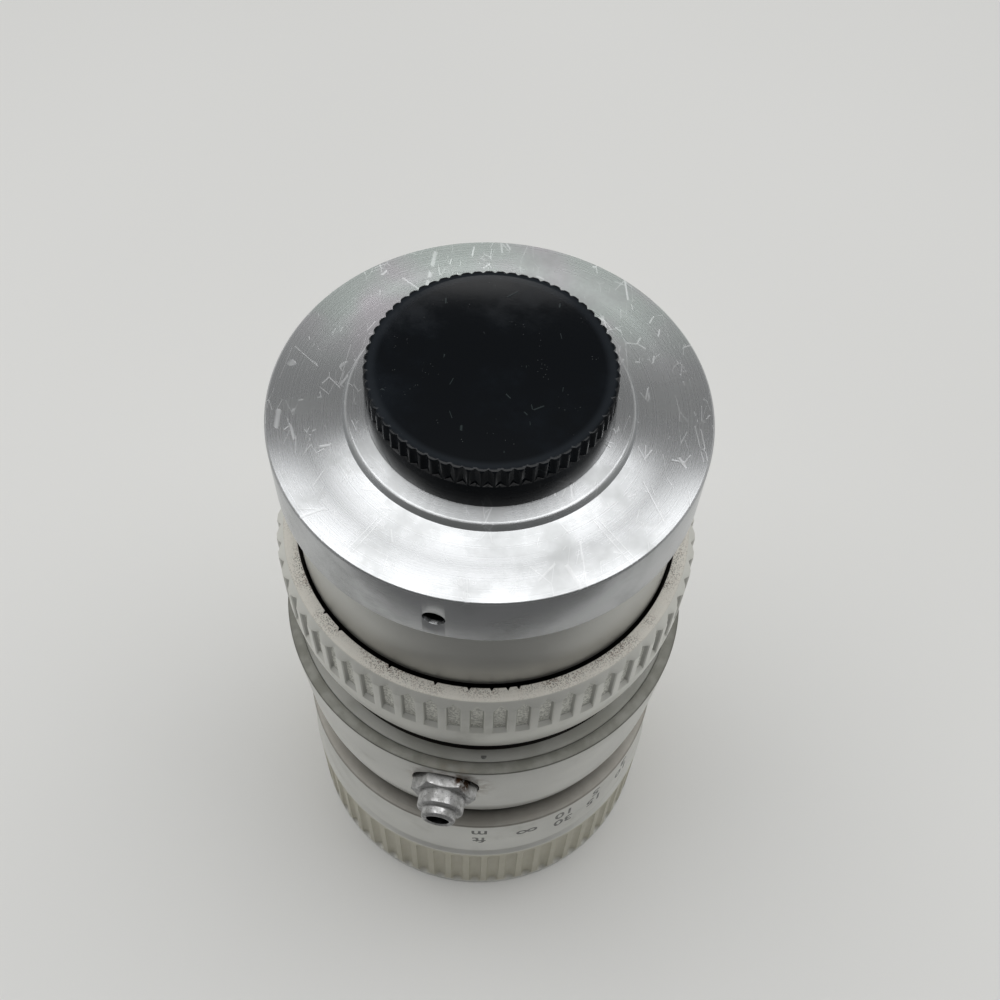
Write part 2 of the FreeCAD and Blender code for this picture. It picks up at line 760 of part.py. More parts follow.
def make_aperture_ring():
    """Aperture ring with a chamfered, slotted crest and a foot that draws in."""
    top_edge = aperture_high - aperture_top_fall
    lip_low = aperture_high - aperture_lip_depth
    crest_high = top_edge - aperture_chamfer_height
    crest_low = crest_high - aperture_crest_length
    outline = [
        line((ring_bore, aperture_low), (aperture_foot_radius, aperture_low)),
        bow((aperture_foot_radius, aperture_low), (aperture_crest_radius, crest_low), aperture_foot_sag),
        line((aperture_crest_radius, crest_low), (aperture_crest_radius, crest_high)),
        line((aperture_crest_radius, crest_high), (aperture_top_radius, top_edge)),
        line((aperture_top_radius, top_edge), (aperture_lip_radius, aperture_high)),
        line((aperture_lip_radius, aperture_high), (aperture_lip_radius, lip_low)),
        line((aperture_lip_radius, lip_low), (ring_bore, lip_low)),
        line((ring_bore, lip_low), (ring_bore, aperture_low)),
    ]
    body = revolve(outline)
    pin_hole = radial_pin(drive_pin_radius + seat_clearance, ring_bore - 1,
                          barrel_radius + drive_pin_depth + stack_gap, drive_pin_z, drive_pin_turn())
    nicks = [turned(aperture_nick(), turn) for turn in nick_turns_deg]
    return body.cut(around(aperture_slot(), aperture_slots, aperture_slot_phase) + nicks + [pin_hole])


def blade_arm_point(blade_deg):
    """Place of the drive pin of the blade pivoted on +X, when the blade has turned by blade_deg."""
    angle = math.radians(blade_arm_deg + blade_deg)
    return Vector(blade_pivot_radius + blade_arm_length * math.cos(angle),
                  blade_arm_length * math.sin(angle), 0)


def cam_path():
    """Centre, radius and end angles of the arc that the drive pin follows in the drive ring."""
    spots = []
    for share in (0.0, 0.5, 1.0):
        ring_deg = aperture_travel_deg * share
        point = blade_arm_point(blade_ratio * ring_deg)
        angle = math.atan2(point.y, point.x) - math.radians(ring_deg)
        reach = math.hypot(point.x, point.y)
        spots.append(Vector(reach * math.cos(angle), reach * math.sin(angle), 0))
    circle = Part.Circle(spots[0], spots[1], spots[2])
    centre = circle.Center
    angles = [math.atan2(spot.y - centre.y, spot.x - centre.x) for spot in spots]
    start, end = min(angles[0], angles[2]), max(angles[0], angles[2])
    return centre, circle.Radius, start, end


def make_drive_ring():
    """Ring with six curved cam slots that swing the blades, and a hole for the drive pin."""
    outer = iris_rim_bore - slide_clearance
    body = tube(outer, drive_ring_bore, drive_ring_low, drive_ring_high)
    centre, radius, start, end = cam_path()
    slot = arc_slot(centre, radius, start, end, blade_pin_radius + pin_clearance,
                    drive_ring_low - 1, drive_ring_high + 1)
    hole = radial_pin(drive_pin_radius + seat_clearance, outer - drive_pin_seat - stack_gap, outer + 1,
                      drive_pin_z, drive_pin_turn())
    return body.cut(around(slot, iris_blades) + [hole])


def make_iris_base():
    """Iris housing: plate with six pivot holes inside a rim."""
    body = revolve([
        (iris_opening, iris_low), (iris_rim_radius, iris_low), (iris_rim_radius, drive_ring_high),
        (iris_rim_bore, drive_ring_high), (iris_rim_bore, plate_top), (iris_opening, plate_top),
    ])
    hole = Part.makeCylinder(blade_pin_radius + blade_pin_clearance, iris_plate_height + 2,
                             Vector(blade_pivot_radius, 0, iris_low - 1))
    return body.cut(around(hole, iris_blades) + drive_pin_slot())


def make_blade(index):
    """One iris blade: crescent leaf, eye, arm, pivot pin below and drive pin above."""
    low = plate_top + blade_rest_gap + blade_pitch * index
    high = low + blade_thickness
    leaf = tube(blade_outer_radius, iris_opening + blade_edge_gap, low, high)
    wedge_points = [Vector(0, 0, low - 1)]
    for share in (0.0, 0.25, 0.5, 0.75, 1.0):
        angle = math.radians(blade_span_deg * share)
        wedge_points.append(Vector(barrel_radius * math.cos(angle), barrel_radius * math.sin(angle), low - 1))
    sector = Part.Face(Part.makePolygon(wedge_points + [wedge_points[0]]))
    wedge = sector.extrude(Vector(0, 0, 2 + blade_thickness))
    leaf = leaf.common(wedge)
    eye_place = Vector(blade_pivot_radius, 0, low)
    arm_end = blade_arm_point(0.0) + Vector(0, 0, low)
    eye = Part.makeCylinder(blade_eye_radius, blade_thickness, eye_place)
    arm_eye = Part.makeCylinder(blade_pin_radius + blade_arm_eye_wall, blade_thickness, arm_end)
    arm = Part.makeBox(blade_arm_length, blade_arm_width, blade_thickness,
                       Vector(blade_pivot_radius, -blade_arm_width / 2, low))
    arm.rotate(eye_place, Vector(0, 0, 1), blade_arm_deg)
    root = Part.makeBox(blade_root_length, blade_root_width, blade_thickness,
                        Vector(blade_pivot_radius - blade_root_reach, -blade_root_drop, low))
    pivot_low = iris_low + blade_edge_gap
    pivot = Part.makeCylinder(blade_pin_radius, low - pivot_low, Vector(blade_pivot_radius, 0, pivot_low))
    drive_height = drive_ring_high - blade_pin_end_gap - high
    drive = Part.makeCylinder(blade_pin_radius, drive_height, Vector(arm_end.x, arm_end.y, high))
    blade = leaf.fuse([eye, arm_eye, arm, root, pivot, drive]).removeSplitter()
    return turned(blade, 360.0 * index / iris_blades)


def make_mount_adapter():
    """Wide mount adapter: socket on the barrel, plate, raised shoulder and threaded nose."""
    socket = mount_socket_radius
    plate_low = rear_top + mount_spigot_length + face_gap
    body = revolve([
        (socket, rear_top), (flange_radius, rear_top), (flange_radius, flange_face - flange_chamfer),
        (flange_radius - flange_chamfer, flange_face), (shoulder_radius, flange_face),
        (shoulder_radius - shoulder_bevel, shoulder_face), (nose_radius, shoulder_face),
        (nose_radius, nose_top - nose_chamfer), (nose_radius - nose_chamfer, nose_top),
        (light_bore_radius, nose_top), (light_bore_radius, plate_low), (socket, plate_low),
    ])
    hole = radial_pin(mount_screw_radius + seat_clearance, socket - 1, flange_radius + 1,
                      flange_face - mount_screw_drop, mount_screw_turn_deg)
    return body.cut(around(hole, mount_screws))


def make_mount_screws():
    """Headless screws with a hexagon socket that clamp the adapter on its spigot."""
    height = flange_face - mount_screw_drop
    inner = mount_spigot_radius
    screw = radial_pin(mount_screw_radius, inner, inner + mount_screw_length, height, 0)
    corners = []
    for i in range(7):
        angle = math.radians(60 * i)
        corners.append(Vector(hex_key_radius * math.cos(angle), -inner - mount_screw_length,
                              height + hex_key_radius * math.sin(angle)))
    key = Part.Face(Part.makePolygon(corners)).extrude(Vector(0, hex_key_depth, 0))
    screw = screw.cut(key)
    return Part.makeCompound(around(screw, mount_screws, mount_screw_turn_deg))


def make_rear_cap():
    """Moulded screw cap with a toothed grip round its upper edge."""
    high = shoulder_face + cap_height
    root = cap_radius - cap_tooth_depth
    bore = nose_radius + cap_nose_clearance
    rim = cap_radius - cap_bevel - cap_rim_width
    dish = high - cap_rim_rise
    body = revolve([
        (bore, shoulder_face), (cap_skirt_radius, shoulder_face), (cap_radius, high - cap_tooth_height),
        (cap_radius, high - cap_bevel), (cap_radius - cap_bevel, high), (rim, high),
        (rim - cap_rim_rise, dish), (0, dish), (0, high - cap_roof), (bore, high - cap_roof),
    ])
    pitch = cap_radius * math.radians(360.0 / cap_teeth)
    low = high - cap_tooth_height
    outer = cap_radius + cap_tooth_depth
    half = pitch - cap_tooth_land
    notch = Part.Face(Part.makePolygon([
        Vector(-half, -outer, low), Vector(half, -outer, low), Vector(0, -root, low),
        Vector(-half, -outer, low)])).extrude(Vector(0, 0, cap_tooth_height + 1))
    return body.cut(around(notch, cap_teeth))


def make_relay_cell():
    """Relay cell that seats on the ledge and holds the two rear elements."""
    outer = relay_outer_radius
    glass = relay_lens_radius + seat_clearance
    lip = relay_lens_radius - relay_lip
    return revolve([
        (lip, relay_low), (outer, relay_low), (outer, relay_high), (glass, relay_high), (glass, relay_first),
        (lip, relay_first),
    ])


# Rear cap and mount
export("rear_cap", make_rear_cap())
export("mount_adapter", make_mount_adapter())
export("mount_set_screws", make_mount_screws())

# Rear barrel and relay group
export("rear_barrel", make_rear_barrel())
export("relay_cell", make_relay_cell())
export("relay_lens_inner", lens(relay_lens_radius, relay_first, relay_lens_thickness,
                                relay_inner_front_bulge, relay_inner_rear_bulge))
export("relay_spacer", tube(relay_lens_radius, relay_keeper_bore, relay_spacer_low,
                            relay_spacer_low + relay_gap_length))
export("relay_lens_outer", lens(relay_lens_radius, relay_second, relay_lens_thickness,
                                relay_outer_front_bulge, relay_outer_rear_bulge))
export("relay_keeper_ring", tube(relay_lens_radius, relay_keeper_bore, relay_keeper_low,
                                 relay_keeper_low + relay_keeper_height))

# Aperture ring and iris
export("aperture_ring", make_aperture_ring())
export("aperture_drive_pin", radial_pin(drive_pin_radius, iris_rim_bore - slide_clearance - drive_pin_seat,
                                        barrel_radius + drive_pin_depth, drive_pin_z, drive_pin_turn()))
export("iris_housing", make_iris_base())
export("iris_drive_ring", make_drive_ring())
export("iris_cover", tube(iris_rim_radius, iris_cover_bore, cover_low, cover_low + iris_cover_height))
for blade_index in range(iris_blades):
    export("iris_blade_" + str(blade_index + 1), make_blade(blade_index))

# Barrel, zoom ring and cam mechanism
export("main_barrel", make_main_barrel())
export("index_ring", make_index_ring())
export("zoom_ring", make_zoom_ring())
export("zoom_lever_socket", make_lever_socket())
export("cam_tube", make_cam_tube())
export("guide_tube", make_guide_tube())

# Variator and compensator
variator_cell, variator_low, variator_glass = moving_cell(variator_pin_z, variator_length, 0)
export("variator_cell", variator_cell)
export("variator_lens", lens(variator_glass, variator_low + cell_lip, variator_glass_thickness,
                             -variator_front_hollow, -variator_rear_hollow))
export("variator_pins", follower_pins(variator_pin_z, 0))
compensator_cell, compensator_low, compensator_glass = moving_cell(compensator_pin_z, compensator_length,
                                                                   compensator_turn_deg)
export("compensator_cell", compensator_cell)
export("compensator_lens", lens(compensator_glass, compensator_low + cell_lip, compensator_glass_thickness,
                                compensator_front_bulge, compensator_rear_bulge))
export("compensator_pins", follower_pins(compensator_pin_z, compensator_turn_deg))

# Focus ring and front group
export("focus_ring", make_focus_ring())
export("focus_stop_ring", make_focus_stop())
export("focus_key_screw", make_key_screw())
export("front_cell", make_front_cell())
export("front_lens", lens(front_lens_radius, front_glass_low, front_lens_thickness,
                          front_lens_front_bulge, front_lens_rear_bulge))
export("front_keeper_ring", tube(front_lens_radius, front_keeper_bore, front_cell_start, front_glass_low))
export("front_second_lens", lens(second_lens_radius, second_glass_low, second_lens_thickness,
                                 second_lens_front_bulge, -second_lens_rear_hollow))
export("front_rear_keeper", tube(second_lens_radius, second_lens_radius - rear_keeper_wall, rear_keeper_low,
                                 rear_keeper_low + rear_keeper_height))
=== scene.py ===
"""Looks of a zoom lens that stands on its front rim with a cap on its rear mount.

Every length in a dataclass is in millimetres, as an instrument maker would write it. Pieces are built in the
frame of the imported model, with the optical axis on Z and the lever side towards -Y, and are baked to metres
as they are made.
"""
import json
import logging
import math
from dataclasses import dataclass, field
from enum import Enum
from typing import Sequence

import bmesh
import bpy
from mathutils import Matrix, Vector


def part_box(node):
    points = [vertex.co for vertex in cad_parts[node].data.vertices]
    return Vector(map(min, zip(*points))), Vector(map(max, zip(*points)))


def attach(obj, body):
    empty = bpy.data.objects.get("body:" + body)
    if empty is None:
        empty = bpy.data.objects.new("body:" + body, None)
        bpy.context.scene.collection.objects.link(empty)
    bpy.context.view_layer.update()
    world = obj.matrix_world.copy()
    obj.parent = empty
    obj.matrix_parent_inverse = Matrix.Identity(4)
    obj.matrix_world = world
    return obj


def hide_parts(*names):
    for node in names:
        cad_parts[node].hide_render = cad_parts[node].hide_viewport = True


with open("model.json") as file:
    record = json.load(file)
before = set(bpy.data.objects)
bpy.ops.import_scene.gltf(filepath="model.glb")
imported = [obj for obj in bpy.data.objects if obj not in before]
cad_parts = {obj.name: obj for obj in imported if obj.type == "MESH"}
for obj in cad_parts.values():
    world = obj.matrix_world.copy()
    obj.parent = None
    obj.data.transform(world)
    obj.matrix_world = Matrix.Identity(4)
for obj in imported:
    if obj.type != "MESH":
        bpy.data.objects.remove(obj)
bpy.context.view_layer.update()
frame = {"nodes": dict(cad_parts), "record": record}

MM = 0.001
LATHE_STEPS = 288
FINE_STEPS = 96
SMOOTH_ANGLE = math.radians(28)
LOG = logging.getLogger("zoom_lens")

Outline = list[tuple[float, float]]
Colour = tuple[float, float, float, float]
Point = tuple[float, float, float]
Piece = bpy.types.Object
Material = bpy.types.Material
Tree = bpy.types.NodeTree
Node = bpy.types.Node
Socket = bpy.types.NodeSocket


class Body(Enum):
    """The bodies of the frame that pieces ride on."""

    ROOT = "root"
    CAP = "cap"
    APERTURE = "aperture"
    ZOOM = "zoom"
    FOCUS = "focus"
    FRONT = "front_group"


class Slot(Enum):
    """Material slots of the record."""

    CAP = "cap_plastic"
    BARE = "bare_aluminium"
    MATTE = "matte_barrel"
    SATIN = "satin_rings"
    BLACK = "black_anodised"
    SCREW = "blackened_steel"
    WORN = "worn_steel"
    BLADE = "blade_steel"
    BRASS = "guide_brass"
    GLASS = "lens_glass"


def grey(level: float, warmth: float = 0.0) -> Colour:
    """A nearly neutral colour.

    Args:
        level: linear brightness.
        warmth: how far blue falls, as a share of the level.

    Returns:
        A linear colour with alpha 1.
    """
    return (level, level, level * (1 - 2 * warmth), 1.0)


# Near-black painted shade for the narrow gaps and recesses between parts.
GAP_SHADE: Colour = (0.012, 0.010, 0.008, 1.0)
BROWN_STAIN: Colour = (0.20, 0.14, 0.085, 1.0)
# Painted shade mixed with old oil, for the sunk spot face of the lever socket.
RECESS_SHADE_AND_OIL: Colour = (0.045, 0.028, 0.016, 1.0)
RUST: Colour = (0.055, 0.026, 0.012, 1.0)
PALE_DUST: Colour = (0.76, 0.735, 0.68, 1.0)
BROWN_FLECK: Colour = (0.26, 0.17, 0.13, 1.0)
DARK_FLECK: Colour = (0.06, 0.055, 0.05, 1.0)
HOLE_SHADE: Colour = grey(0.02)


# Modelling tools


def settle() -> None:
    """Leave edit mode and deselect everything."""
    if bpy.context.mode != "OBJECT":
        bpy.ops.object.mode_set(mode="OBJECT")
    bpy.ops.object.select_all(action="DESELECT")


def pick(piece: Piece) -> None:
    """Make one object the only selected and active one."""
    settle()
    piece.select_set(True)
    bpy.context.view_layer.objects.active = piece


def apply_place(piece: Piece) -> None:
    """Bake an object's place, turn and scale into its mesh."""
    pick(piece)
    bpy.ops.object.transform_apply(location=True, rotation=True, scale=True)


def turn(piece: Piece, degrees: float, axis: str = "Z") -> None:
    """Turn a mesh about an axis through the origin and bake the turn.

    Args:
        piece: the object to turn; it sits at the origin.
        degrees: the turn by the right-hand rule.
        axis: X, Y or Z.
    """
    piece.rotation_euler["XYZ".index(axis)] = math.radians(degrees)
    apply_place(piece)


def shift(piece: Piece, x: float, y: float, z: float) -> None:
    """Move a mesh by millimetres and bake the move."""
    piece.location = (x * MM, y * MM, z * MM)
    apply_place(piece)


def edit_all(piece: Piece) -> None:
    """Open one object in edit mode with all of it selected."""
    pick(piece)
    bpy.ops.object.mode_set(mode="EDIT")
    bpy.ops.mesh.select_all(action="SELECT")


def tidy_mesh(piece: Piece, gap: float = 0.0004) -> None:
    """Merge doubles and point the faces outwards.

    Args:
        piece: the object to clean.
        gap: doubles nearer than this many millimetres become one.
    """
    edit_all(piece)
    bpy.ops.mesh.remove_doubles(threshold=gap * MM)
    bpy.ops.mesh.normals_make_consistent(inside=False)
    settle()


def soften(outline: Outline, ease: float) -> Outline:
    """Round the corners of a closed outline a little, as a deburring tool does.

    Args:
        outline: closed outline as (radius, height) pairs.
        ease: length taken off each side of a corner.

    Returns:
        The outline with three points at each clear corner.
    """
    out: Outline = []
    count = len(outline)
    for i, (r, z) in enumerate(outline):
        before = Vector(outline[i - 1])
        here = Vector((r, z))
        after = Vector(outline[(i + 1) % count])
        way_in, way_out = before - here, after - here
        straight = way_in.length < 1e-6 or way_out.length < 1e-6
        if straight or r < 1e-6 or (-way_in).angle(way_out) < math.radians(20):
            out.append((r, z))
            continue
        cut = min(ease, 0.35 * way_in.length, 0.35 * way_out.length)
        first = here + way_in.normalized() * cut
        last = here + way_out.normalized() * cut
        middle = (first + last) / 4 + here / 2
        out += [tuple(first), tuple(middle), tuple(last)]
    return out


def bow(a: tuple[float, float], b: tuple[float, float], sag: float, count: int = 10) -> Outline:
    """Points along an arc between two outline points, without the points themselves.

    Args:
        a: first (radius, height).
        b: last (radius, height).
        sag: bulge to the right of the way from a to b.
        count: number of steps.

    Returns:
        The points between a and b.
    """
    start, end = Vector(a), Vector(b)
    way = end - start
    side = Vector((way.y, -way.x)).normalized()
    points = []
    for i in range(1, count):
        share = i / count
        points.append(tuple(start + way * share + side * sag * 4 * share * (1 - share)))
    return points


def lathe(name: str, outline: Outline, steps: int = LATHE_STEPS) -> Piece:
    """Turn a closed outline about the Z axis.

    Args:
        name: name of the new object.
        outline: closed outline as (radius, height) pairs in millimetres.
        steps: number of steps round the axis.

    Returns:
        A closed mesh object.
    """
    settle()
    bpy.ops.mesh.primitive_plane_add(size=MM)
    piece = bpy.context.object
    piece.name = name
    bpy.ops.object.mode_set(mode="EDIT")
    bpy.ops.mesh.select_all(action="SELECT")
    bpy.ops.mesh.merge(type="CENTER")
    points = [Vector((0, -r * MM, z * MM)) for r, z in outline]
    bpy.ops.transform.translate(value=points[0])
    for here, there in zip(points, points[1:] + points[:1]):
        bpy.ops.mesh.extrude_vertices_move(TRANSFORM_OT_translate={"value": there - here})
    bpy.ops.mesh.select_all(action="SELECT")
    bpy.ops.mesh.remove_doubles(threshold=1e-7)
    bpy.ops.mesh.spin(steps=steps, angle=math.tau, center=(0, 0, 0), axis=(0, 0, 1))
    settle()
    tidy_mesh(piece)
    return piece


def ring_of(cutter: Piece, count: int, phase: float = 0.0) -> None:
    """Copy a mesh evenly round the axis, into one mesh.

    Args:
        cutter: the object to repeat.
        count: number of copies in the full turn.
        phase: turn of the first copy in degrees.
    """
    if phase:
        turn(cutter, phase)
    edit_all(cutter)
    bpy.ops.mesh.spin(steps=count - 1, dupli=True, angle=math.tau * (count - 1) / count,
                      center=(0, 0, 0), axis=(0, 0, 1))
    settle()


def modify(piece: Piece, kind: str, **settings: object) -> None:
    """Add a modifier with its settings and apply it.

    Args:
        piece: the object.
        kind: the modifier's type.
        settings: its properties by name.
    """
    pick(piece)
    bpy.ops.object.modifier_add(type=kind)
    modifier = piece.modifiers[-1]
    for key, value in settings.items():
        setattr(modifier, key, value)
    bpy.ops.object.modifier_apply(modifier=modifier.name)


def cut(piece: Piece, cutter: Piece, operation: str = "DIFFERENCE") -> None:
    """Take one closed mesh away from another, or keep what both share, and delete the cutter.

    Args:
        piece: the object that is cut.
        cutter: the closed mesh that cuts it.
        operation: DIFFERENCE or INTERSECT.
    """
    modify(piece, "BOOLEAN", operation=operation, solver="EXACT", object=cutter)
    pick(cutter)
    bpy.ops.object.delete()


def ease_edges(piece: Piece, width: float, angle: float = 35.0, segments: int = 2) -> None:
    """Bevel the sharp edges of a mesh.

    Args:
        piece: the object.
        width: bevel width in millimetres.
        angle: edges sharper than this many degrees are bevelled.
        segments: steps across the bevel.
    """
    modify(piece, "BEVEL", width=width * MM, limit_method="ANGLE", angle_limit=math.radians(angle),
           segments=segments, miter_outer="MITER_ARC", use_clamp_overlap=True)


def rod(name: str, radius: float, low: float, high: float, sides: int = 32) -> Piece:
    """A round bar along Z, used as a cutter or as the start of a turned piece.

    Args:
        name: name of the new object.
        radius: radius in millimetres.
        low: height of its lower end.
        high: height of its upper end.
        sides: number of sides.

    Returns:
        The bar.
    """
    settle()
    bpy.ops.mesh.primitive_cylinder_add(vertices=sides, radius=radius * MM, depth=(high - low) * MM,
                                        location=(0, 0, (low + high) / 2 * MM))
    piece = bpy.context.object
    piece.name = name
    apply_place(piece)
    return piece


def aim_out(piece: Piece, height: float, degrees: float) -> None:
    """Lay a mesh built along Z on its side, so that +Z points out to -Y, at a height and a turn.

    Args:
        piece: the object.
        height: height of its axis in millimetres.
        degrees: turn about the optical axis from the -Y side.
    """
    turn(piece, 90, "X")
    shift(piece, 0, 0, height)
    turn(piece, degrees)


def finish(piece: Piece, body: Body, material: Material,
           stands_for: Sequence[str] = (), angle: float = SMOOTH_ANGLE) -> Piece:
    """Shade a piece, dress it and tie it to the frame.

    Args:
        piece: the finished mesh.
        body: the body it rides on.
        material: its finish.
        stands_for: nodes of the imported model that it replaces.
        angle: edges sharper than this stay sharp.

    Returns:
        The same piece.
    """
    pick(piece)
    bpy.ops.object.shade_smooth_by_angle(angle=angle)
    piece.data.materials.clear()
    piece.data.materials.append(material)
    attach(piece, body.value)
    if stands_for:
        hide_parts(*stands_for)
    LOG.info("%s: %d faces, rides on %s", piece.name, len(piece.data.polygons), body.value)
    return piece


# Shader building


class Sheet:
    """A short hand for drawing one node tree."""

    def __init__(self, tree: Tree) -> None:
        """Keep the tree that nodes are added to."""
        self.tree = tree

    def node(self, kind: str, **settings: object) -> Node:
        """Add a node and set its properties.

        Args:
            kind: the node's type.
            settings: its properties by name.

        Returns:
            The new node.
        """
        node = self.tree.nodes.new(kind)
        for key, value in settings.items():
            setattr(node, key, value)
        return node

    def feed(self, source: object, socket: Socket) -> None:
        """Link a socket to another, or set a plain value on it.

        Args:
            source: an output socket or a plain value.
            socket: the input that takes it.
        """
        if isinstance(source, Socket):
            self.tree.links.new(source, socket)
        else:
            socket.default_value = source

    def math(self, operation: str, a: object, b: object = 0.0) -> Socket:
        """A Math node.

        Args:
            operation: the node's operation.
            a: first value or socket.
            b: second value or socket.

        Returns:
            The result.
        """
        node = self.node("ShaderNodeMath", operation=operation)
        for value, socket in zip((a, b, 0.0), node.inputs):
            self.feed(value, socket)
        return node.outputs[0]

    def times(self, a: object, b: object) -> Socket:
        """a times b."""
        return self.math("MULTIPLY", a, b)

    def plus(self, a: object, b: object) -> Socket:
        """a plus b."""
        return self.math("ADD", a, b)

    def minus(self, a: object, b: object) -> Socket:
        """a minus b."""
        return self.math("SUBTRACT", a, b)

    def most(self, a: object, b: object) -> Socket:
        """The greater of a and b."""
        return self.math("MAXIMUM", a, b)

    def remap(self, value: object, low: float, high: float, to_low: float = 0.0,
              to_high: float = 1.0, smooth: bool = True) -> Socket:
        """A clamped Map Range node.

        Args:
            value: the value that is mapped.
            low: where the range starts.
            high: where the range ends.
            to_low: result at the start.
            to_high: result at the end.
            smooth: ease in and out, else a straight line.

        Returns:
            The mapped value.
        """
        node = self.node("ShaderNodeMapRange", interpolation_type="SMOOTHSTEP" if smooth else "LINEAR")
        for item, socket in zip((value, low, high, to_low, to_high), node.inputs):
            self.feed(item, socket)
        return node.outputs[0]

    def mix(self, share: object, a: object, b: object) -> Socket:
        """Mix two colours by a share.

        Args:
            share: how much of b shows.
            a: first colour.
            b: second colour.

        Returns:
            The mixed colour.
        """
        node = self.node("ShaderNodeMix", data_type="RGBA")
        self.feed(share, node.inputs["Factor"])
        self.feed(a, node.inputs[6])
        self.feed(b, node.inputs[7])
        return node.outputs[2]

    def layer(self, under: object, over: object, mask: object, share: object) -> Socket:
        """Lay one colour over another where a mask is, at most by a share."""
        return self.mix(self.times(mask, share), under, over)

    def ring(self, reach: object, rise: tuple[float, float], fall: tuple[float, float]) -> Socket:
        """Mask of a ring round the axis, which rises and falls between two pairs of distances."""
        return self.times(self.remap(reach, *rise), self.remap(reach, *fall, 1.0, 0.0))

    def distance(self, place: object, point_mm: Sequence[float]) -> Socket:
        """Distance in metres from a point given in millimetres.

        Args:
            place: object coordinates.
            point_mm: the point.

        Returns:
            The distance.
        """
        node = self.node("ShaderNodeVectorMath", operation="DISTANCE")
        self.feed(place, node.inputs[0])
        node.inputs[1].default_value = [v * MM for v in point_mm]
        return node.outputs["Value"]

    def noise(self, place: object, scale: float, detail: float = 3.0, roughness: float = 0.5) -> Socket:
        """Noise over a place vector, scale in cycles per metre.

        Args:
            place: object coordinates.
            scale: cycles per metre.
            detail: number of finer layers.
            roughness: weight of the finer layers.

        Returns:
            A value about 0.5.
        """
        node = self.node("ShaderNodeTexNoise")
        self.feed(place, node.inputs["Vector"])
        plain(node, Scale=scale, Detail=detail, Roughness=roughness)
        return node.outputs["Fac"]

    def place(self) -> Socket:
        """Object coordinates."""
        return self.node("ShaderNodeTexCoord").outputs["Object"]

    def stretch(self, place: object, turn_deg: tuple[float, float, float],
                scale: tuple[float, float, float]) -> Socket:
        """Turn and scale a place vector.

        Args:
            place: object coordinates.
            turn_deg: turns about X, Y and Z.
            scale: factors along X, Y and Z.

        Returns:
            The new place vector.
        """
        node = self.node("ShaderNodeMapping")
        self.feed(place, node.inputs["Vector"])
        plain(node, Rotation=[math.radians(v) for v in turn_deg], Scale=scale)
        return node.outputs[0]

    def split(self, vector: object) -> Sequence[Socket]:
        """The X, Y and Z of a vector."""
        node = self.node("ShaderNodeSeparateXYZ")
        self.feed(vector, node.inputs[0])
        return node.outputs

    def radius(self, vector: object) -> Socket:
        """Distance from the optical axis in metres."""
        x, y, _ = self.split(vector)
        return self.math("SQRT", self.plus(self.times(x, x), self.times(y, y)))

    def reach(self, vector: object) -> Socket:
        """Distance from the optical axis in millimetres."""
        return self.times(self.radius(vector), 1000.0)

    def bearing(self, vector: object) -> Socket:
        """Angle from the -Y side towards +X, in radians."""
        x, y, _ = self.split(vector)
        return self.math("ARCTAN2", x, self.times(y, -1.0))

    def use(self, group: Tree, **inputs: object) -> Socket:
        """The one output of a node group; an underscore in an input's name stands for a space.

        Args:
            group: the group.
            inputs: its inputs by name.

        Returns:
            The group's output.
        """
        node = self.node("ShaderNodeGroup", node_tree=group)
        for key, value in inputs.items():
            self.feed(value, node.inputs[key.replace("_", " ")])
        return node.outputs[0]


def plain(node: Node, **values: object) -> None:
    """Set plain values on a node's inputs; an underscore in a name stands for a space."""
    for key, value in values.items():
        node.inputs[key.replace("_", " ")].default_value = value


def new_group(name: str, inputs: dict[str, float], outputs: Sequence[str]) -> tuple[Sheet, dict, dict]:
    """Start a shader node group with float inputs and float outputs.

    Args:
        name: name of the group.
        inputs: input names with their defaults.
        outputs: output names.

    Returns:
        The sheet to draw on, the input sockets and the output sockets by name.
    """
    tree = bpy.data.node_groups.new(name, "ShaderNodeTree")
    for key, value in inputs.items():
        socket = tree.interface.new_socket(name=key, in_out="INPUT", socket_type="NodeSocketFloat")
        socket.default_value = value
    for key in outputs:
        tree.interface.new_socket(name=key, in_out="OUTPUT", socket_type="NodeSocketFloat")
    source = tree.nodes.new("NodeGroupInput")
    sink = tree.nodes.new("NodeGroupOutput")
    return Sheet(tree), {k: source.outputs[k] for k in inputs}, {k: sink.inputs[k] for k in outputs}


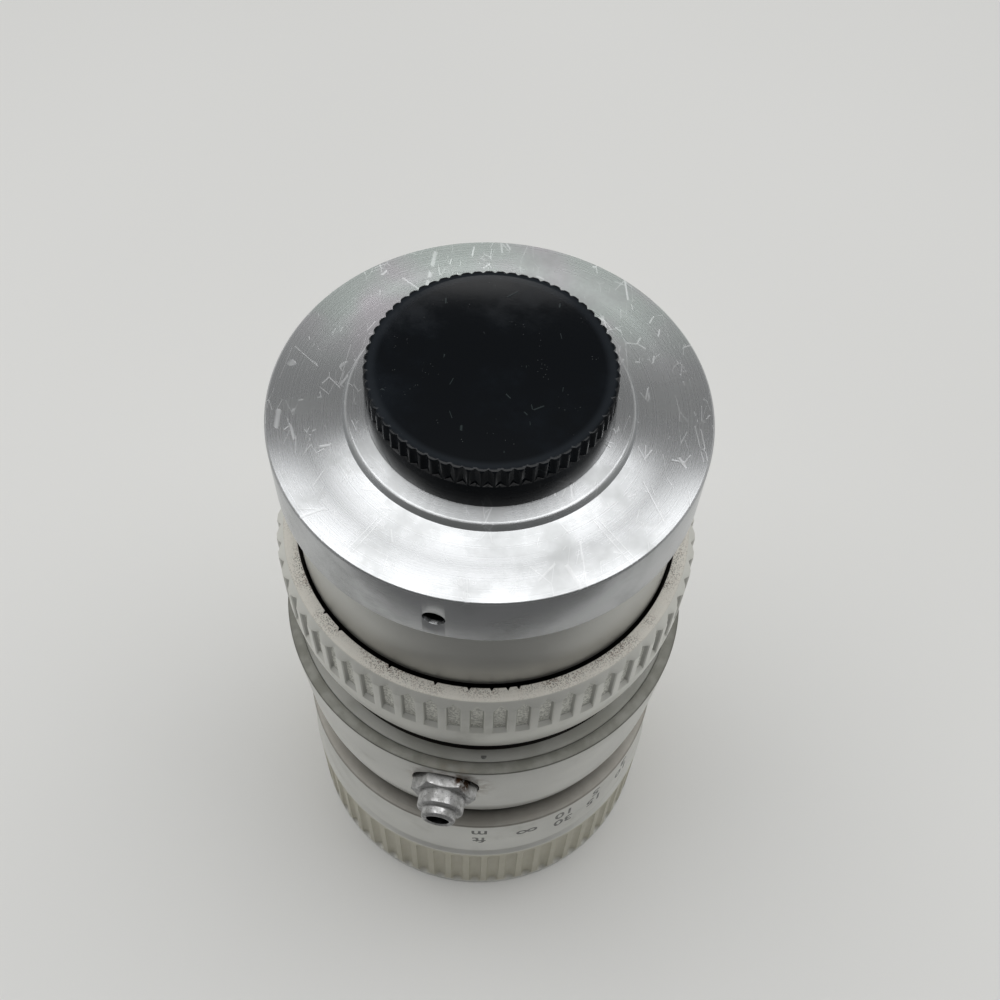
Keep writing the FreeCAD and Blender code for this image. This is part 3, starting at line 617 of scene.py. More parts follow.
class Effects:
    """Shader node groups that several finishes share."""

    def __init__(self) -> None:
        """Build each group once."""
        self.turned = self.build_turned()
        self.scratches = self.build_scratches()
        self.specks = self.build_specks()
        self.grime = self.build_grime()
        self.band = self.build_band()

    @staticmethod
    def build_turned() -> Tree:
        """Fine lines left by a lathe tool, round the axis on faces and on walls alike.

        Returns:
            The group.
        """
        sheet, inputs, outputs = new_group("turned lines", {"Lines per mm": 6.0}, ["Height"])
        place = sheet.place()
        along = sheet.plus(sheet.radius(place), sheet.times(sheet.split(place)[2], 1.31))
        node = sheet.node("ShaderNodeTexNoise", noise_dimensions="1D")
        sheet.feed(sheet.times(along, sheet.times(inputs["Lines per mm"], 1000.0)),
                   node.inputs["W"])
        plain(node, Scale=1.0, Detail=2.0)
        sheet.feed(node.outputs["Fac"], outputs["Height"])
        return sheet.tree

    @staticmethod
    def build_scratches() -> Tree:
        """Thin broken scratches in several directions.

        Returns:
            The group.
        """
        sheet, inputs, outputs = new_group("scratches", {"Size mm": 9.0, "Amount": 0.5}, ["Mask"])
        place = sheet.place()
        total = None
        for index, (bend, share) in enumerate(((0.0, 1.0), (37.0, 0.62), (71.0, 1.7))):
            spot = sheet.stretch(place, (bend * 0.3, 0.0, bend), (1.0, 0.35, 0.7))
            cells = sheet.node("ShaderNodeTexVoronoi", feature="DISTANCE_TO_EDGE")
            sheet.feed(spot, cells.inputs["Vector"])
            sheet.feed(sheet.math("DIVIDE", 1000.0 * share, inputs["Size mm"]), cells.inputs["Scale"])
            line = sheet.remap(cells.outputs["Distance"], 0.002, 0.010, 1.0, 0.0)
            turned = sheet.stretch(place, (0, 0, 17.0 * index), (1, 1, 1))
            broken = sheet.noise(turned, 150.0 + 70 * index, 2.0)
            edge = sheet.minus(0.72, sheet.times(inputs["Amount"], 0.34))
            kept = sheet.times(line, sheet.math("GREATER_THAN", broken, edge))
            total = kept if total is None else sheet.most(total, kept)
        sheet.feed(total, outputs["Mask"])
        return sheet.tree

    @staticmethod
    def build_specks() -> Tree:
        """Small round specks, gathered in patches.

        Returns:
            The group.
        """
        sheet, inputs, outputs = new_group("specks", {"Per mm": 1.5, "Size": 0.3, "Cover": 0.5}, ["Mask"])
        place = sheet.place()
        cells = sheet.node("ShaderNodeTexVoronoi", feature="F1")
        sheet.feed(place, cells.inputs["Vector"])
        sheet.feed(sheet.times(inputs["Per mm"], 1000.0), cells.inputs["Scale"])
        near = sheet.math("LESS_THAN", cells.outputs["Distance"], inputs["Size"])
        patch = sheet.noise(place, 260.0, 3.0)
        edge = sheet.minus(0.75, sheet.times(inputs["Cover"], 0.5))
        sheet.feed(sheet.times(near, sheet.math("GREATER_THAN", patch, edge)), outputs["Mask"])
        return sheet.tree

    @staticmethod
    def build_grime() -> Tree:
        """Soft uneven dirt.

        Returns:
            The group.
        """
        sheet, inputs, outputs = new_group("grime", {"Size mm": 8.0, "Cover": 0.5}, ["Mask"])
        place = sheet.place()
        wide = sheet.node("ShaderNodeTexNoise")
        sheet.feed(place, wide.inputs["Vector"])
        sheet.feed(sheet.math("DIVIDE", 1000.0, inputs["Size mm"]), wide.inputs["Scale"])
        plain(wide, Detail=6.0, Roughness=0.62)
        low = sheet.minus(0.78, sheet.times(inputs["Cover"], 0.6))
        sheet.feed(sheet.remap(wide.outputs["Fac"], low, sheet.plus(low, 0.25)), outputs["Mask"])
        return sheet.tree

    @staticmethod
    def build_band() -> Tree:
        """A soft-edged band between two heights, in millimetres.

        Returns:
            The group.
        """
        sheet, inputs, outputs = new_group("height band", {"Low": 0.0, "High": 1.0, "Blur": 0.3}, ["Mask"])
        height = sheet.times(sheet.split(sheet.place())[2], 1000.0)
        rise = sheet.math("DIVIDE", sheet.minus(height, inputs["Low"]), inputs["Blur"])
        fall = sheet.math("DIVIDE", sheet.minus(inputs["High"], height), inputs["Blur"])
        both = sheet.math("MINIMUM", rise, fall)
        node = sheet.node("ShaderNodeClamp")
        sheet.feed(both, node.inputs[0])
        sheet.feed(node.outputs[0], outputs["Mask"])
        return sheet.tree


EFFECTS = Effects()


@dataclass(frozen=True)
class Finish:
    """What every surface finish has: a name, a base colour, gloss and metal share."""

    name: str
    base: Colour
    roughness: float
    metallic: float = 1.0

    def start(self) -> tuple[Material, Sheet, Node]:
        """A material with a Principled shader set to the plain values of the finish.

        Returns:
            The material, its sheet and its shader node.
        """
        material = bpy.data.materials.new(self.name)
        material.use_nodes = True
        sheet = Sheet(material.node_tree)
        shader = material.node_tree.nodes["Principled BSDF"]
        plain(shader, Base_Color=self.base, Roughness=self.roughness, Metallic=self.metallic)
        return material, sheet, shader

    @staticmethod
    def bump(sheet: Sheet, shader: Node, height: object, depth_mm: float) -> None:
        """Feed a height in units of depth_mm into the shader's normal.

        Args:
            sheet: the material's sheet.
            shader: its Principled shader.
            height: the height, about 0 to 1.
            depth_mm: depth of one unit.
        """
        node = sheet.node("ShaderNodeBump")
        plain(node, Strength=1.0, Distance=depth_mm * MM)
        sheet.feed(height, node.inputs["Height"])
        sheet.feed(node.outputs["Normal"], shader.inputs["Normal"])


@dataclass(frozen=True)
class SatinAluminium(Finish):
    """Satin anodised aluminium with fine turning lines, light grime and handling marks; a height band paints
    either the ring's own tint or shade, and near-black painted shade fills the narrow gaps between parts.
    """

    grime_colour: Colour = grey(0.30, 0.10)
    grime_cover: float = 0.42
    line_depth_mm: float = 0.004
    lines_per_mm: float = 5.0
    # Each height band holds low, high, blur, colour and share; it is the ring's own tint or painted shade.
    tint_and_shade_bands: tuple[tuple[float, float, float, Colour, float], ...] = ()
    top_dust: tuple[float, float, float] | None = None
    stain: tuple[float, float, float, float] | None = None
    recess_radius: float = 0.0
    slots: tuple[float, float, float] | None = None
    # Each shaded gap holds inner and outer radius, low and high height: painted near-black shade.
    shaded_crevices: tuple[tuple[float, float, float, float], ...] = ()

    def build(self) -> Material:
        """Draw the material.

        Returns:
            The finished material.
        """
        material, sheet, shader = self.start()
        place = sheet.place()
        lines = sheet.use(EFFECTS.turned, Lines_per_mm=self.lines_per_mm)
        grime = sheet.use(EFFECTS.grime, Size_mm=9.0, Cover=self.grime_cover)
        marks = sheet.use(EFFECTS.scratches, Size_mm=16.0, Amount=0.25)
        tone = sheet.remap(sheet.noise(place, 60.0, 3.0), 0.3, 0.7, 0.93, 1.05)
        shade = sheet.node("ShaderNodeMix", data_type="RGBA", blend_type="MULTIPLY")
        shade.inputs["Factor"].default_value = 1.0
        shade.inputs[6].default_value = self.base
        combine = sheet.node("ShaderNodeCombineXYZ")
        for socket in combine.inputs:
            sheet.feed(tone, socket)
        sheet.feed(combine.outputs[0], shade.inputs[7])
        colour = shade.outputs[2]
        colour = sheet.layer(colour, self.grime_colour, grime, 0.22)
        dirt = grime
        # A height band lays either the ring's own tint or painted shade.
        for low, high, blur, tint, share in self.tint_and_shade_bands:
            mask = sheet.use(EFFECTS.band, Low=low, High=high, Blur=blur)
            mottled = sheet.times(mask, sheet.remap(sheet.noise(place, 420.0, 4.0), 0.3, 0.62, 0.88, 1.0))
            colour = sheet.layer(colour, tint, mottled, share)
            dirt = sheet.most(dirt, mask)
        if self.stain:
            colour = self.stain_round(sheet, place, colour)
        rough_extra = 0.0
        if self.top_dust:
            colour, rough_extra = self.dust_top(sheet, place, colour)
        if self.slots:
            colour = self.dust_slots(sheet, place, colour)
        # Painted shade: near-black in the narrow gaps and recesses between parts.
        for inner, outer, low, high in self.shaded_crevices:
            ring = sheet.ring(sheet.reach(place), (inner - 0.04, inner), (outer, outer + 0.06))
            level = sheet.use(EFFECTS.band, Low=low, High=high, Blur=0.08)
            colour = sheet.layer(colour, GAP_SHADE, ring, level)
        sheet.feed(colour, shader.inputs["Base Color"])
        rough = sheet.plus(self.roughness, sheet.times(dirt, 0.12))
        rough = sheet.plus(rough, sheet.times(sheet.minus(lines, 0.5), 0.10))
        sheet.feed(sheet.plus(rough, rough_extra), shader.inputs["Roughness"])
        height = sheet.minus(lines, sheet.times(marks, 1.2))
        self.bump(sheet, shader, height, self.line_depth_mm)
        return material

    def dust_slots(self, sheet: Sheet, place: object, colour: object) -> Socket:
        """Speckled dust on the floors of the grip slots and shade on their walls.

        Args:
            sheet: the material's sheet.
            place: object coordinates.
            colour: colour so far.

        Returns:
            The dusted colour.
        """
        floor, crest, high = self.slots
        radius = sheet.reach(place)
        level = sheet.use(EFFECTS.band, Low=high - 8.2, High=high - 0.95, Blur=0.05)
        on_floor = sheet.times(level, sheet.remap(radius, floor + 0.03, floor + 0.10, 1.0, 0.0))
        on_floor = sheet.times(on_floor, sheet.math("GREATER_THAN", radius, floor - 0.06))
        on_wall = sheet.times(level, sheet.math("GREATER_THAN", radius, floor + 0.06))
        on_wall = sheet.times(on_wall, sheet.remap(radius, crest - 0.30, crest - 0.12, 1.0, 0.0))
        below = sheet.use(EFFECTS.band, Low=high - 8.2, High=high - 1.5, Blur=0.1)
        on_wall = sheet.times(on_wall, below)
        mottle = sheet.remap(sheet.noise(place, 2600.0, 3.0, 0.7), 0.42, 0.58)
        colour = sheet.layer(colour, grey(0.85, 0.04), on_floor, 0.7)
        colour = sheet.layer(colour, grey(0.20, 0.06), sheet.times(on_floor, mottle), 0.5)
        return sheet.layer(colour, grey(0.22, 0.05), on_wall, 0.5)

    def stain_round(self, sheet: Sheet, place: object, colour: object) -> Socket:
        """Brown stain round the lever socket, with painted shade and old oil in its sunk spot face.

        Args:
            sheet: the material's sheet.
            place: object coordinates.
            colour: colour so far.

        Returns:
            The stained colour.
        """
        x, y, z, reach = self.stain
        away = sheet.distance(place, (x, y, z))
        near = sheet.remap(away, reach * 0.62 * MM, reach * 1.35 * MM, 1.0, 0.0)
        uneven = sheet.remap(sheet.noise(place, 700.0, 5.0, 0.65), 0.38, 0.62)
        colour = sheet.layer(colour, BROWN_STAIN, near, sheet.times(uneven, 0.5))
        radius = sheet.reach(place)
        # Painted shade with old oil: darker in the sunk spot face close to the socket.
        sunk = sheet.remap(radius, self.recess_radius + 0.5, self.recess_radius + 0.75, 1.0, 0.0)
        close = sheet.math("LESS_THAN", away, reach * 1.1 * MM)
        close = sheet.times(close, sheet.math("LESS_THAN", sheet.split(place)[2], (z + reach - 0.6) * MM))
        return sheet.layer(colour, RECESS_SHADE_AND_OIL, sheet.times(sunk, close), 0.9)

    def dust_top(self, sheet: Sheet, place: object, colour: object) -> tuple[Socket, Socket]:
        """Pale dust with dark and brownish specks on the flat top face of a ring.

        Args:
            sheet: the material's sheet.
            place: object coordinates.
            colour: colour so far.

        Returns:
            The dusted colour and what the dust adds to the roughness.
        """
        height, inner, outer = self.top_dust
        level = sheet.use(EFFECTS.band, Low=height - 0.45, High=height + 1.0, Blur=0.08)
        radius = sheet.reach(place)
        on_top = sheet.times(level, sheet.math("LESS_THAN", radius, outer + 0.05))
        dust = sheet.remap(sheet.noise(place, 900.0, 5.0, 0.7), 0.32, 0.60)
        colour = sheet.layer(colour, PALE_DUST, on_top, sheet.plus(0.55, sheet.times(dust, 0.3)))
        inward = sheet.remap(radius, inner, outer, 1.0, 0.25)
        flecks = sheet.use(EFFECTS.specks, Per_mm=4.5, Size=0.36, Cover=0.9)
        brown = sheet.use(EFFECTS.specks, Per_mm=3.0, Size=0.40, Cover=0.6)
        patch = sheet.remap(sheet.noise(place, 170.0, 2.0), 0.38, 0.60, 0.1, 1.0)
        share = sheet.times(sheet.times(on_top, inward), patch)
        colour = sheet.layer(colour, BROWN_FLECK, sheet.times(brown, share), 0.55)
        colour = sheet.layer(colour, DARK_FLECK, sheet.times(flecks, share), 0.85)
        return colour, sheet.times(on_top, 0.3)


@dataclass(frozen=True)
class BareAluminium(Finish):
    """Turned bare aluminium, scratched and a little tarnished, with a circular grain, a lighter painted
    iridescent sheen on its far side and painted shade in its screw holes.
    """

    grain: float = 0.85
    rosy_sheen: Colour = (0.86, 0.80, 0.86, 1)
    greenish_sheen: Colour = (0.76, 0.87, 0.81, 1)
    smudge_colour: Colour = (0.38, 0.39, 0.39, 1)
    bright_metal: Colour = (0.92, 0.93, 0.94, 1)
    rim_radius: float = 29.0
    scribe_turns: tuple[float, ...] = (-36.6, -35.2, 37.3, 38.9)
    hole_heights: tuple[float, float] = (103.0, 107.0)

    def scribed(self, sheet: Sheet, place: object) -> Socket:
        """Pairs of thin radial lines scratched into the face.

        Args:
            sheet: the material's sheet.
            place: object coordinates.

        Returns:
            A mask of the lines.
        """
        bearing = sheet.bearing(place)
        radius = sheet.reach(place)
        total = None
        for degrees in self.scribe_turns:
            away = sheet.math("ABSOLUTE", sheet.minus(bearing, math.radians(degrees)))
            line = sheet.remap(sheet.times(away, radius), 0.03, 0.09, 0.55, 0.0)
            total = line if total is None else sheet.most(total, line)
        return sheet.times(total, sheet.remap(radius, 20.0, 22.0))

    def build(self) -> Material:
        """Draw the material.

        Returns:
            The finished material.
        """
        material, sheet, shader = self.start()
        place = sheet.place()
        lines = sheet.use(EFFECTS.turned, Lines_per_mm=7.0)
        coarse = sheet.use(EFFECTS.turned, Lines_per_mm=1.3)
        marks = sheet.use(EFFECTS.scratches, Size_mm=9.0, Amount=0.4)
        light_marks = sheet.use(EFFECTS.scratches, Size_mm=4.0, Amount=0.45)
        smudge = sheet.use(EFFECTS.grime, Size_mm=14.0, Cover=0.55)
        bearing = sheet.bearing(place)
        # Painted sheen: a lighter iridescent tint on the far side of the face.
        hue = sheet.noise(sheet.stretch(place, (0, 0, 25), (1, 1, 1)), 75.0, 2.0)
        far_side_sheen = sheet.remap(sheet.math("ABSOLUTE", bearing), 1.7, 2.4)
        sheen_tint = sheet.mix(sheet.remap(hue, 0.40, 0.60), self.rosy_sheen, self.greenish_sheen)
        colour = sheet.mix(sheet.times(far_side_sheen, 0.5), self.base, sheen_tint)
        colour = sheet.layer(colour, self.smudge_colour, smudge, 0.8)
        scratch = sheet.most(sheet.times(marks, 0.6), sheet.times(light_marks, 0.45))
        scratch = sheet.most(scratch, self.scribed(sheet, place))
        reach = sheet.reach(place)
        on_rim = sheet.remap(reach, self.rim_radius - 0.25, self.rim_radius - 0.1)
        scratch = sheet.times(scratch, sheet.minus(1.0, sheet.times(on_rim, 0.85)))
        colour = sheet.layer(colour, self.bright_metal, scratch, 0.6)
        # Painted shade inside the screw holes.
        low, high = self.hole_heights
        hole = sheet.use(EFFECTS.band, Low=low, High=high, Blur=0.1)
        inside = sheet.ring(reach, (24.1, 24.3), (28.3, 28.75))
        colour = sheet.layer(colour, HOLE_SHADE, hole, inside)
        sheet.feed(colour, shader.inputs["Base Color"])
        rough = sheet.minus(self.roughness, sheet.times(on_rim, self.roughness - 0.2))
        rough = sheet.plus(rough, sheet.times(smudge, 0.08))
        rough = sheet.plus(rough, sheet.times(scratch, 0.18))
        rough = sheet.plus(rough, sheet.times(sheet.minus(lines, 0.5), 0.12))
        sheet.feed(rough, shader.inputs["Roughness"])
        plain(shader, Anisotropic=self.grain, Anisotropic_Rotation=0.25)
        tangent = sheet.node("ShaderNodeTangent", direction_type="RADIAL", axis="Z")
        sheet.feed(tangent.outputs[0], shader.inputs["Tangent"])
        height = sheet.plus(lines, sheet.times(coarse, 0.8))
        height = sheet.minus(height, sheet.times(scratch, 2.0))
        self.bump(sheet, shader, height, 0.003)
        return material


@dataclass(frozen=True)
class CapPlastic(Finish):
    """Moulded black plastic, semi-gloss, with dust, rub marks, fine scratches and a painted highlight ring
    round the top edge.
    """

    smudge_colour: Colour = (0.003, 0.006, 0.010, 1)
    mark_colour: Colour = (0.08, 0.12, 0.12, 1)
    dust_colour: Colour = (0.16, 0.17, 0.17, 1)
    rim_highlight: Colour = (0.017, 0.021, 0.026, 1)
    gloss: float = 0.22

    def build(self) -> Material:
        """Draw the material.

        Returns:
            The finished material.
        """
        material, sheet, shader = self.start()
        place = sheet.place()
        marks = sheet.use(EFFECTS.scratches, Size_mm=9.0, Amount=0.22)
        dust = sheet.use(EFFECTS.specks, Per_mm=2.3, Size=0.13, Cover=0.3)
        smudge = sheet.use(EFFECTS.grime, Size_mm=10.0, Cover=0.5)
        colour = sheet.layer(self.base, self.smudge_colour, smudge, 0.55)
        colour = sheet.layer(colour, self.mark_colour, marks, 0.16)
        colour = sheet.layer(colour, self.dust_colour, dust, 0.3)
        reach = sheet.reach(place)
        # Painted highlight: a lighter ring round the top edge of the cap.
        rim = sheet.ring(reach, (14.0, 15.0), (15.2, 15.7))
        colour = sheet.layer(colour, self.rim_highlight, rim, 0.6)
        sheet.feed(colour, shader.inputs["Base Color"])
        rough = sheet.plus(self.roughness, sheet.times(smudge, 0.12))
        sheet.feed(sheet.plus(rough, sheet.times(marks, 0.25)), shader.inputs["Roughness"])
        plain(shader, Specular_IOR_Level=self.gloss)
        fine = sheet.noise(place, 5200.0, 2.0)
        height = sheet.minus(sheet.times(fine, 0.4), marks)
        self.bump(sheet, shader, height, 0.006)
        return material


@dataclass(frozen=True)
class WornSteel(Finish):
    """Pitted grey metal, brighter where it is rubbed."""

    pit_size: float = 0.28
    patina: Colour = grey(0.30, 0.02)
    rust: tuple[float, float, float, float] | None = None
    bore: tuple[float, float, float] | None = None

    def build(self) -> Material:
        """Draw the material.

        Returns:
            The finished material.
        """
        material, sheet, shader = self.start()
        place = sheet.place()
        pits = sheet.use(EFFECTS.specks, Per_mm=2.6, Size=self.pit_size, Cover=1.0)
        rub = sheet.remap(sheet.noise(place, 900.0, 5.0, 0.65), 0.35, 0.65)
        colour = sheet.layer(self.base, self.patina, rub, 0.6)
        colour = sheet.layer(colour, grey(0.12), pits, 0.35)
        # Painted shade down the threaded hole of the socket.
        if self.bore:
            turn_rad, height, radius = self.bore
            from_axis = sheet.node("ShaderNodeVectorMath", operation="SUBTRACT")
            sheet.feed(place, from_axis.inputs[0])
            from_axis.inputs[1].default_value = (0.0, 0.0, height * MM)
            across = sheet.node("ShaderNodeVectorMath", operation="CROSS_PRODUCT")
            sheet.feed(from_axis.outputs["Vector"], across.inputs[0])
            across.inputs[1].default_value = (math.sin(turn_rad), -math.cos(turn_rad), 0.0)
            off = sheet.node("ShaderNodeVectorMath", operation="LENGTH")
            sheet.feed(across.outputs["Vector"], off.inputs[0])
            colour = sheet.mix(sheet.math("LESS_THAN", off.outputs["Value"], radius * MM), colour, HOLE_SHADE)
        if self.rust:
            x, y, z, reach = self.rust
            near = sheet.remap(sheet.distance(place, (x, y, z)), reach * 0.5 * MM, reach * MM, 1.0, 0.0)
            uneven = sheet.remap(sheet.noise(place, 1500.0, 4.0, 0.6), 0.35, 0.55)
            colour = sheet.layer(colour, RUST, near, uneven)
        sheet.feed(colour, shader.inputs["Base Color"])
        sheet.feed(sheet.plus(self.roughness, sheet.times(rub, 0.2)), shader.inputs["Roughness"])
        self.bump(sheet, shader, sheet.minus(rub, sheet.times(pits, 1.5)), 0.007)
        return material


@dataclass(frozen=True)
class PlainMetal(Finish):
    """Turned metal for inner parts: fine lines and a slight unevenness."""

    lines_per_mm: float = 4.0
    spread: float = 0.25

    def build(self) -> Material:
        """Draw the material.

        Returns:
            The finished material.
        """
        material, sheet, shader = self.start()
        place = sheet.place()
        lines = sheet.use(EFFECTS.turned, Lines_per_mm=self.lines_per_mm)
        uneven = sheet.remap(sheet.noise(place, 240.0, 4.0), 0.3, 0.7)
        dark = tuple(c * (1 - self.spread) for c in self.base[:3]) + (1.0,)
        sheet.feed(sheet.mix(uneven, self.base, dark), shader.inputs["Base Color"])
        sheet.feed(sheet.plus(self.roughness, sheet.times(lines, 0.12)), shader.inputs["Roughness"])
        self.bump(sheet, shader, lines, 0.004)
        return material


@dataclass(frozen=True)
class CoatedGlass(Finish):
    """Polished glass with a faint coating and a little dust."""

    tint: Colour = (0.86, 0.90, 0.98, 1.0)

    def build(self) -> Material:
        """Draw the material.

        Returns:
            The finished material.
        """
        material, sheet, shader = self.start()
        dust = sheet.use(EFFECTS.specks, Per_mm=0.8, Size=0.10, Cover=0.6)
        sheet.feed(sheet.layer(self.base, grey(0.5), dust, 0.3), shader.inputs["Base Color"])
        sheet.feed(sheet.plus(self.roughness, sheet.times(dust, 0.3)), shader.inputs["Roughness"])
        plain(shader, Transmission_Weight=1.0, IOR=1.6, Coat_Weight=0.6, Coat_Tint=self.tint,
              Coat_Roughness=0.03)
        return material


@dataclass(frozen=True)
class FilledMark(Finish):
    """Dark paint in an engraved mark, worn thin in places."""

    worn: Colour = grey(0.22, 0.02)

    def build(self) -> Material:
        """Draw the material.

        Returns:
            The finished material.
        """
        material, sheet, shader = self.start()
        wear = sheet.remap(sheet.noise(sheet.place(), 1500.0, 4.0), 0.42, 0.66)
        sheet.feed(sheet.mix(wear, self.base, self.worn), shader.inputs["Base Color"])
        return material


# Sub-assemblies


def span(node: str) -> tuple[float, float]:
    """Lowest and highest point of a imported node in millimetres."""
    low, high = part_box(node)
    return low[2] / MM, high[2] / MM


@dataclass
class RearCap:
    """Black screw cap with a toothed grip round its upper edge."""

    radius: float = 15.95
    skirt_radius: float = 16.2
    roof: float = 1.6
    bore: float = 12.95
    bevel: float = 0.2
    rim_width: float = 0.75
    rim_rise: float = 0.16
    teeth: int = 64
    tooth_depth: float = 0.5
    tooth_height: float = 3.0
    tooth_land: float = 0.22

    def outline(self, low: float, high: float) -> Outline:
        """Section of the cap between its lower and upper face.

        Args:
            low: height of the lower face.
            high: height of the upper face.

        Returns:
            The section as (radius, height) pairs.
        """
        rim = self.radius - self.bevel - self.rim_width
        return soften([
            (self.bore, low), (self.skirt_radius, low), (self.radius + 0.02, high - self.tooth_height - 0.05),
            (self.radius, high - self.tooth_height), (self.radius, high - self.bevel),
            (self.radius - self.bevel, high), (rim, high), (rim - 0.6, high - self.rim_rise),
            (0, high - self.rim_rise), (0, high - self.roof), (self.bore, high - self.roof),
        ], 0.07)

    def build(self, plastic: Material) -> None:
        """Model the cap, cut its teeth and dress it.

        Args:
            plastic: the black plastic.
        """
        low, high = span("rear_cap")
        cap = lathe("rear_cap_shell", self.outline(low, high))
        width = math.tau * self.radius / self.teeth - self.tooth_land
        reach = 2 * self.tooth_depth
        notch = rod("cap_notch", reach, high - self.tooth_height, high + 1, sides=4)
        notch.scale = (width / reach, 1.0, 1.0)
        apply_place(notch)
        shift(notch, 0, -(self.radius + reach - self.tooth_depth), 0)
        ring_of(notch, self.teeth)
        cut(cap, notch)
        ease_edges(cap, 0.05, 40)
        finish(cap, Body.CAP, plastic, ["rear_cap"])


@dataclass
class MountAdapter:
    """Wide bare metal disc with its shoulder, threaded nose and three screw holes."""

    radius: float = 29.0
    chamfer: float = 0.25
    shoulder_radius: float = 19.0
    shoulder_height: float = 1.0
    shoulder_bevel: float = 0.3
    nose_radius: float = 12.7
    nose_length: float = 4.0
    light_bore: float = 11.0
    socket_radius: float = 24.05
    socket_depth: float = 5.95
    hole_radius: float = 1.45
    hole_drop: float = 5.2
    hole_turn: float = -11.9
    holes: int = 3
    thread_pitch: float = 0.794

    def outline(self, low: float, high: float) -> Outline:
        """Section of the adapter, with the nose's thread as ridges.

        Args:
            low: height of the lower face.
            high: height of the upper face.

        Returns:
            The section as (radius, height) pairs.
        """
        face = high - self.nose_length - self.shoulder_height
        shoulder = face + self.shoulder_height
        edge = self.shoulder_radius
        points: Outline = [
            (self.socket_radius, low), (self.radius - 0.15, low), (self.radius, low + 0.15),
            (self.radius, face - self.chamfer), (self.radius - self.chamfer, face), (24.0, face + 0.002),
            (edge + 0.1, face), (edge, face + 0.25), (edge - 0.12, face + 0.55),
            (edge - self.shoulder_bevel, shoulder - 0.15), (edge - 2 * self.shoulder_bevel, shoulder),
            (self.nose_radius - 0.5, shoulder), (self.nose_radius - 0.5, shoulder + 0.3),
        ]
        height = shoulder + 0.4
        while height < high - self.thread_pitch:
            points += [(self.nose_radius, height + 0.15), (self.nose_radius - 0.4, height + 0.55)]
            height += self.thread_pitch
        points += [(self.nose_radius - 0.4, high - 0.3), (self.nose_radius - 0.6, high),
                   (self.light_bore, high), (self.light_bore, low + self.socket_depth),
                   (self.socket_radius, low + self.socket_depth)]
        return soften(points, 0.10)

    def build(self, bare: Material) -> None:
        """Model the adapter and drill its screw holes.

        Args:
            bare: the bare aluminium.
        """
        low, high = span("mount_adapter")
        disc = lathe("mount_adapter_disc", self.outline(low, high), 360)
        face = high - self.nose_length - self.shoulder_height
        drill = rod("screw_drill", self.hole_radius, self.socket_radius - 1, self.radius + 2)
        aim_out(drill, face - self.hole_drop, self.hole_turn)
        ring_of(drill, self.holes)
        cut(disc, drill)
        ease_edges(disc, 0.12, 50)
        finish(disc, Body.ROOT, bare, ["mount_adapter"])


@dataclass
class RearBarrel:
    """Matte barrel between the adapter and the aperture ring."""

    radius: float = 27.35
    spigot_radius: float = 24.0
    spigot_length: float = 5.9
    bore: float = 22.5
    iris_bore: float = 24.6
    ledge: float = 21.2
    counterbore: float = 26.45
    counterbore_depth: float = 6.1
    iris_depth: float = 11.7
    ledge_height: float = 1.5

    def build(self, matte: Material) -> None:
        """Model the barrel.

        Args:
            matte: the matte finish.
        """
        low, high = span("rear_barrel")
        top = high - self.spigot_length
        seat = low + self.iris_depth
        barrel = lathe("rear_barrel_shell", soften([
            (self.counterbore, low), (self.radius, low), (self.radius, top - 0.05), (self.radius - 0.05, top),
            (self.spigot_radius, top), (self.spigot_radius, high), (self.bore, high),
            (self.bore, seat + self.ledge_height), (self.ledge, seat + self.ledge_height),
            (self.ledge, seat), (self.iris_bore, seat),
            (self.iris_bore, low + self.counterbore_depth), (self.counterbore, low + self.counterbore_depth),
        ], 0.06))
        finish(barrel, Body.ROOT, matte, ["rear_barrel"])


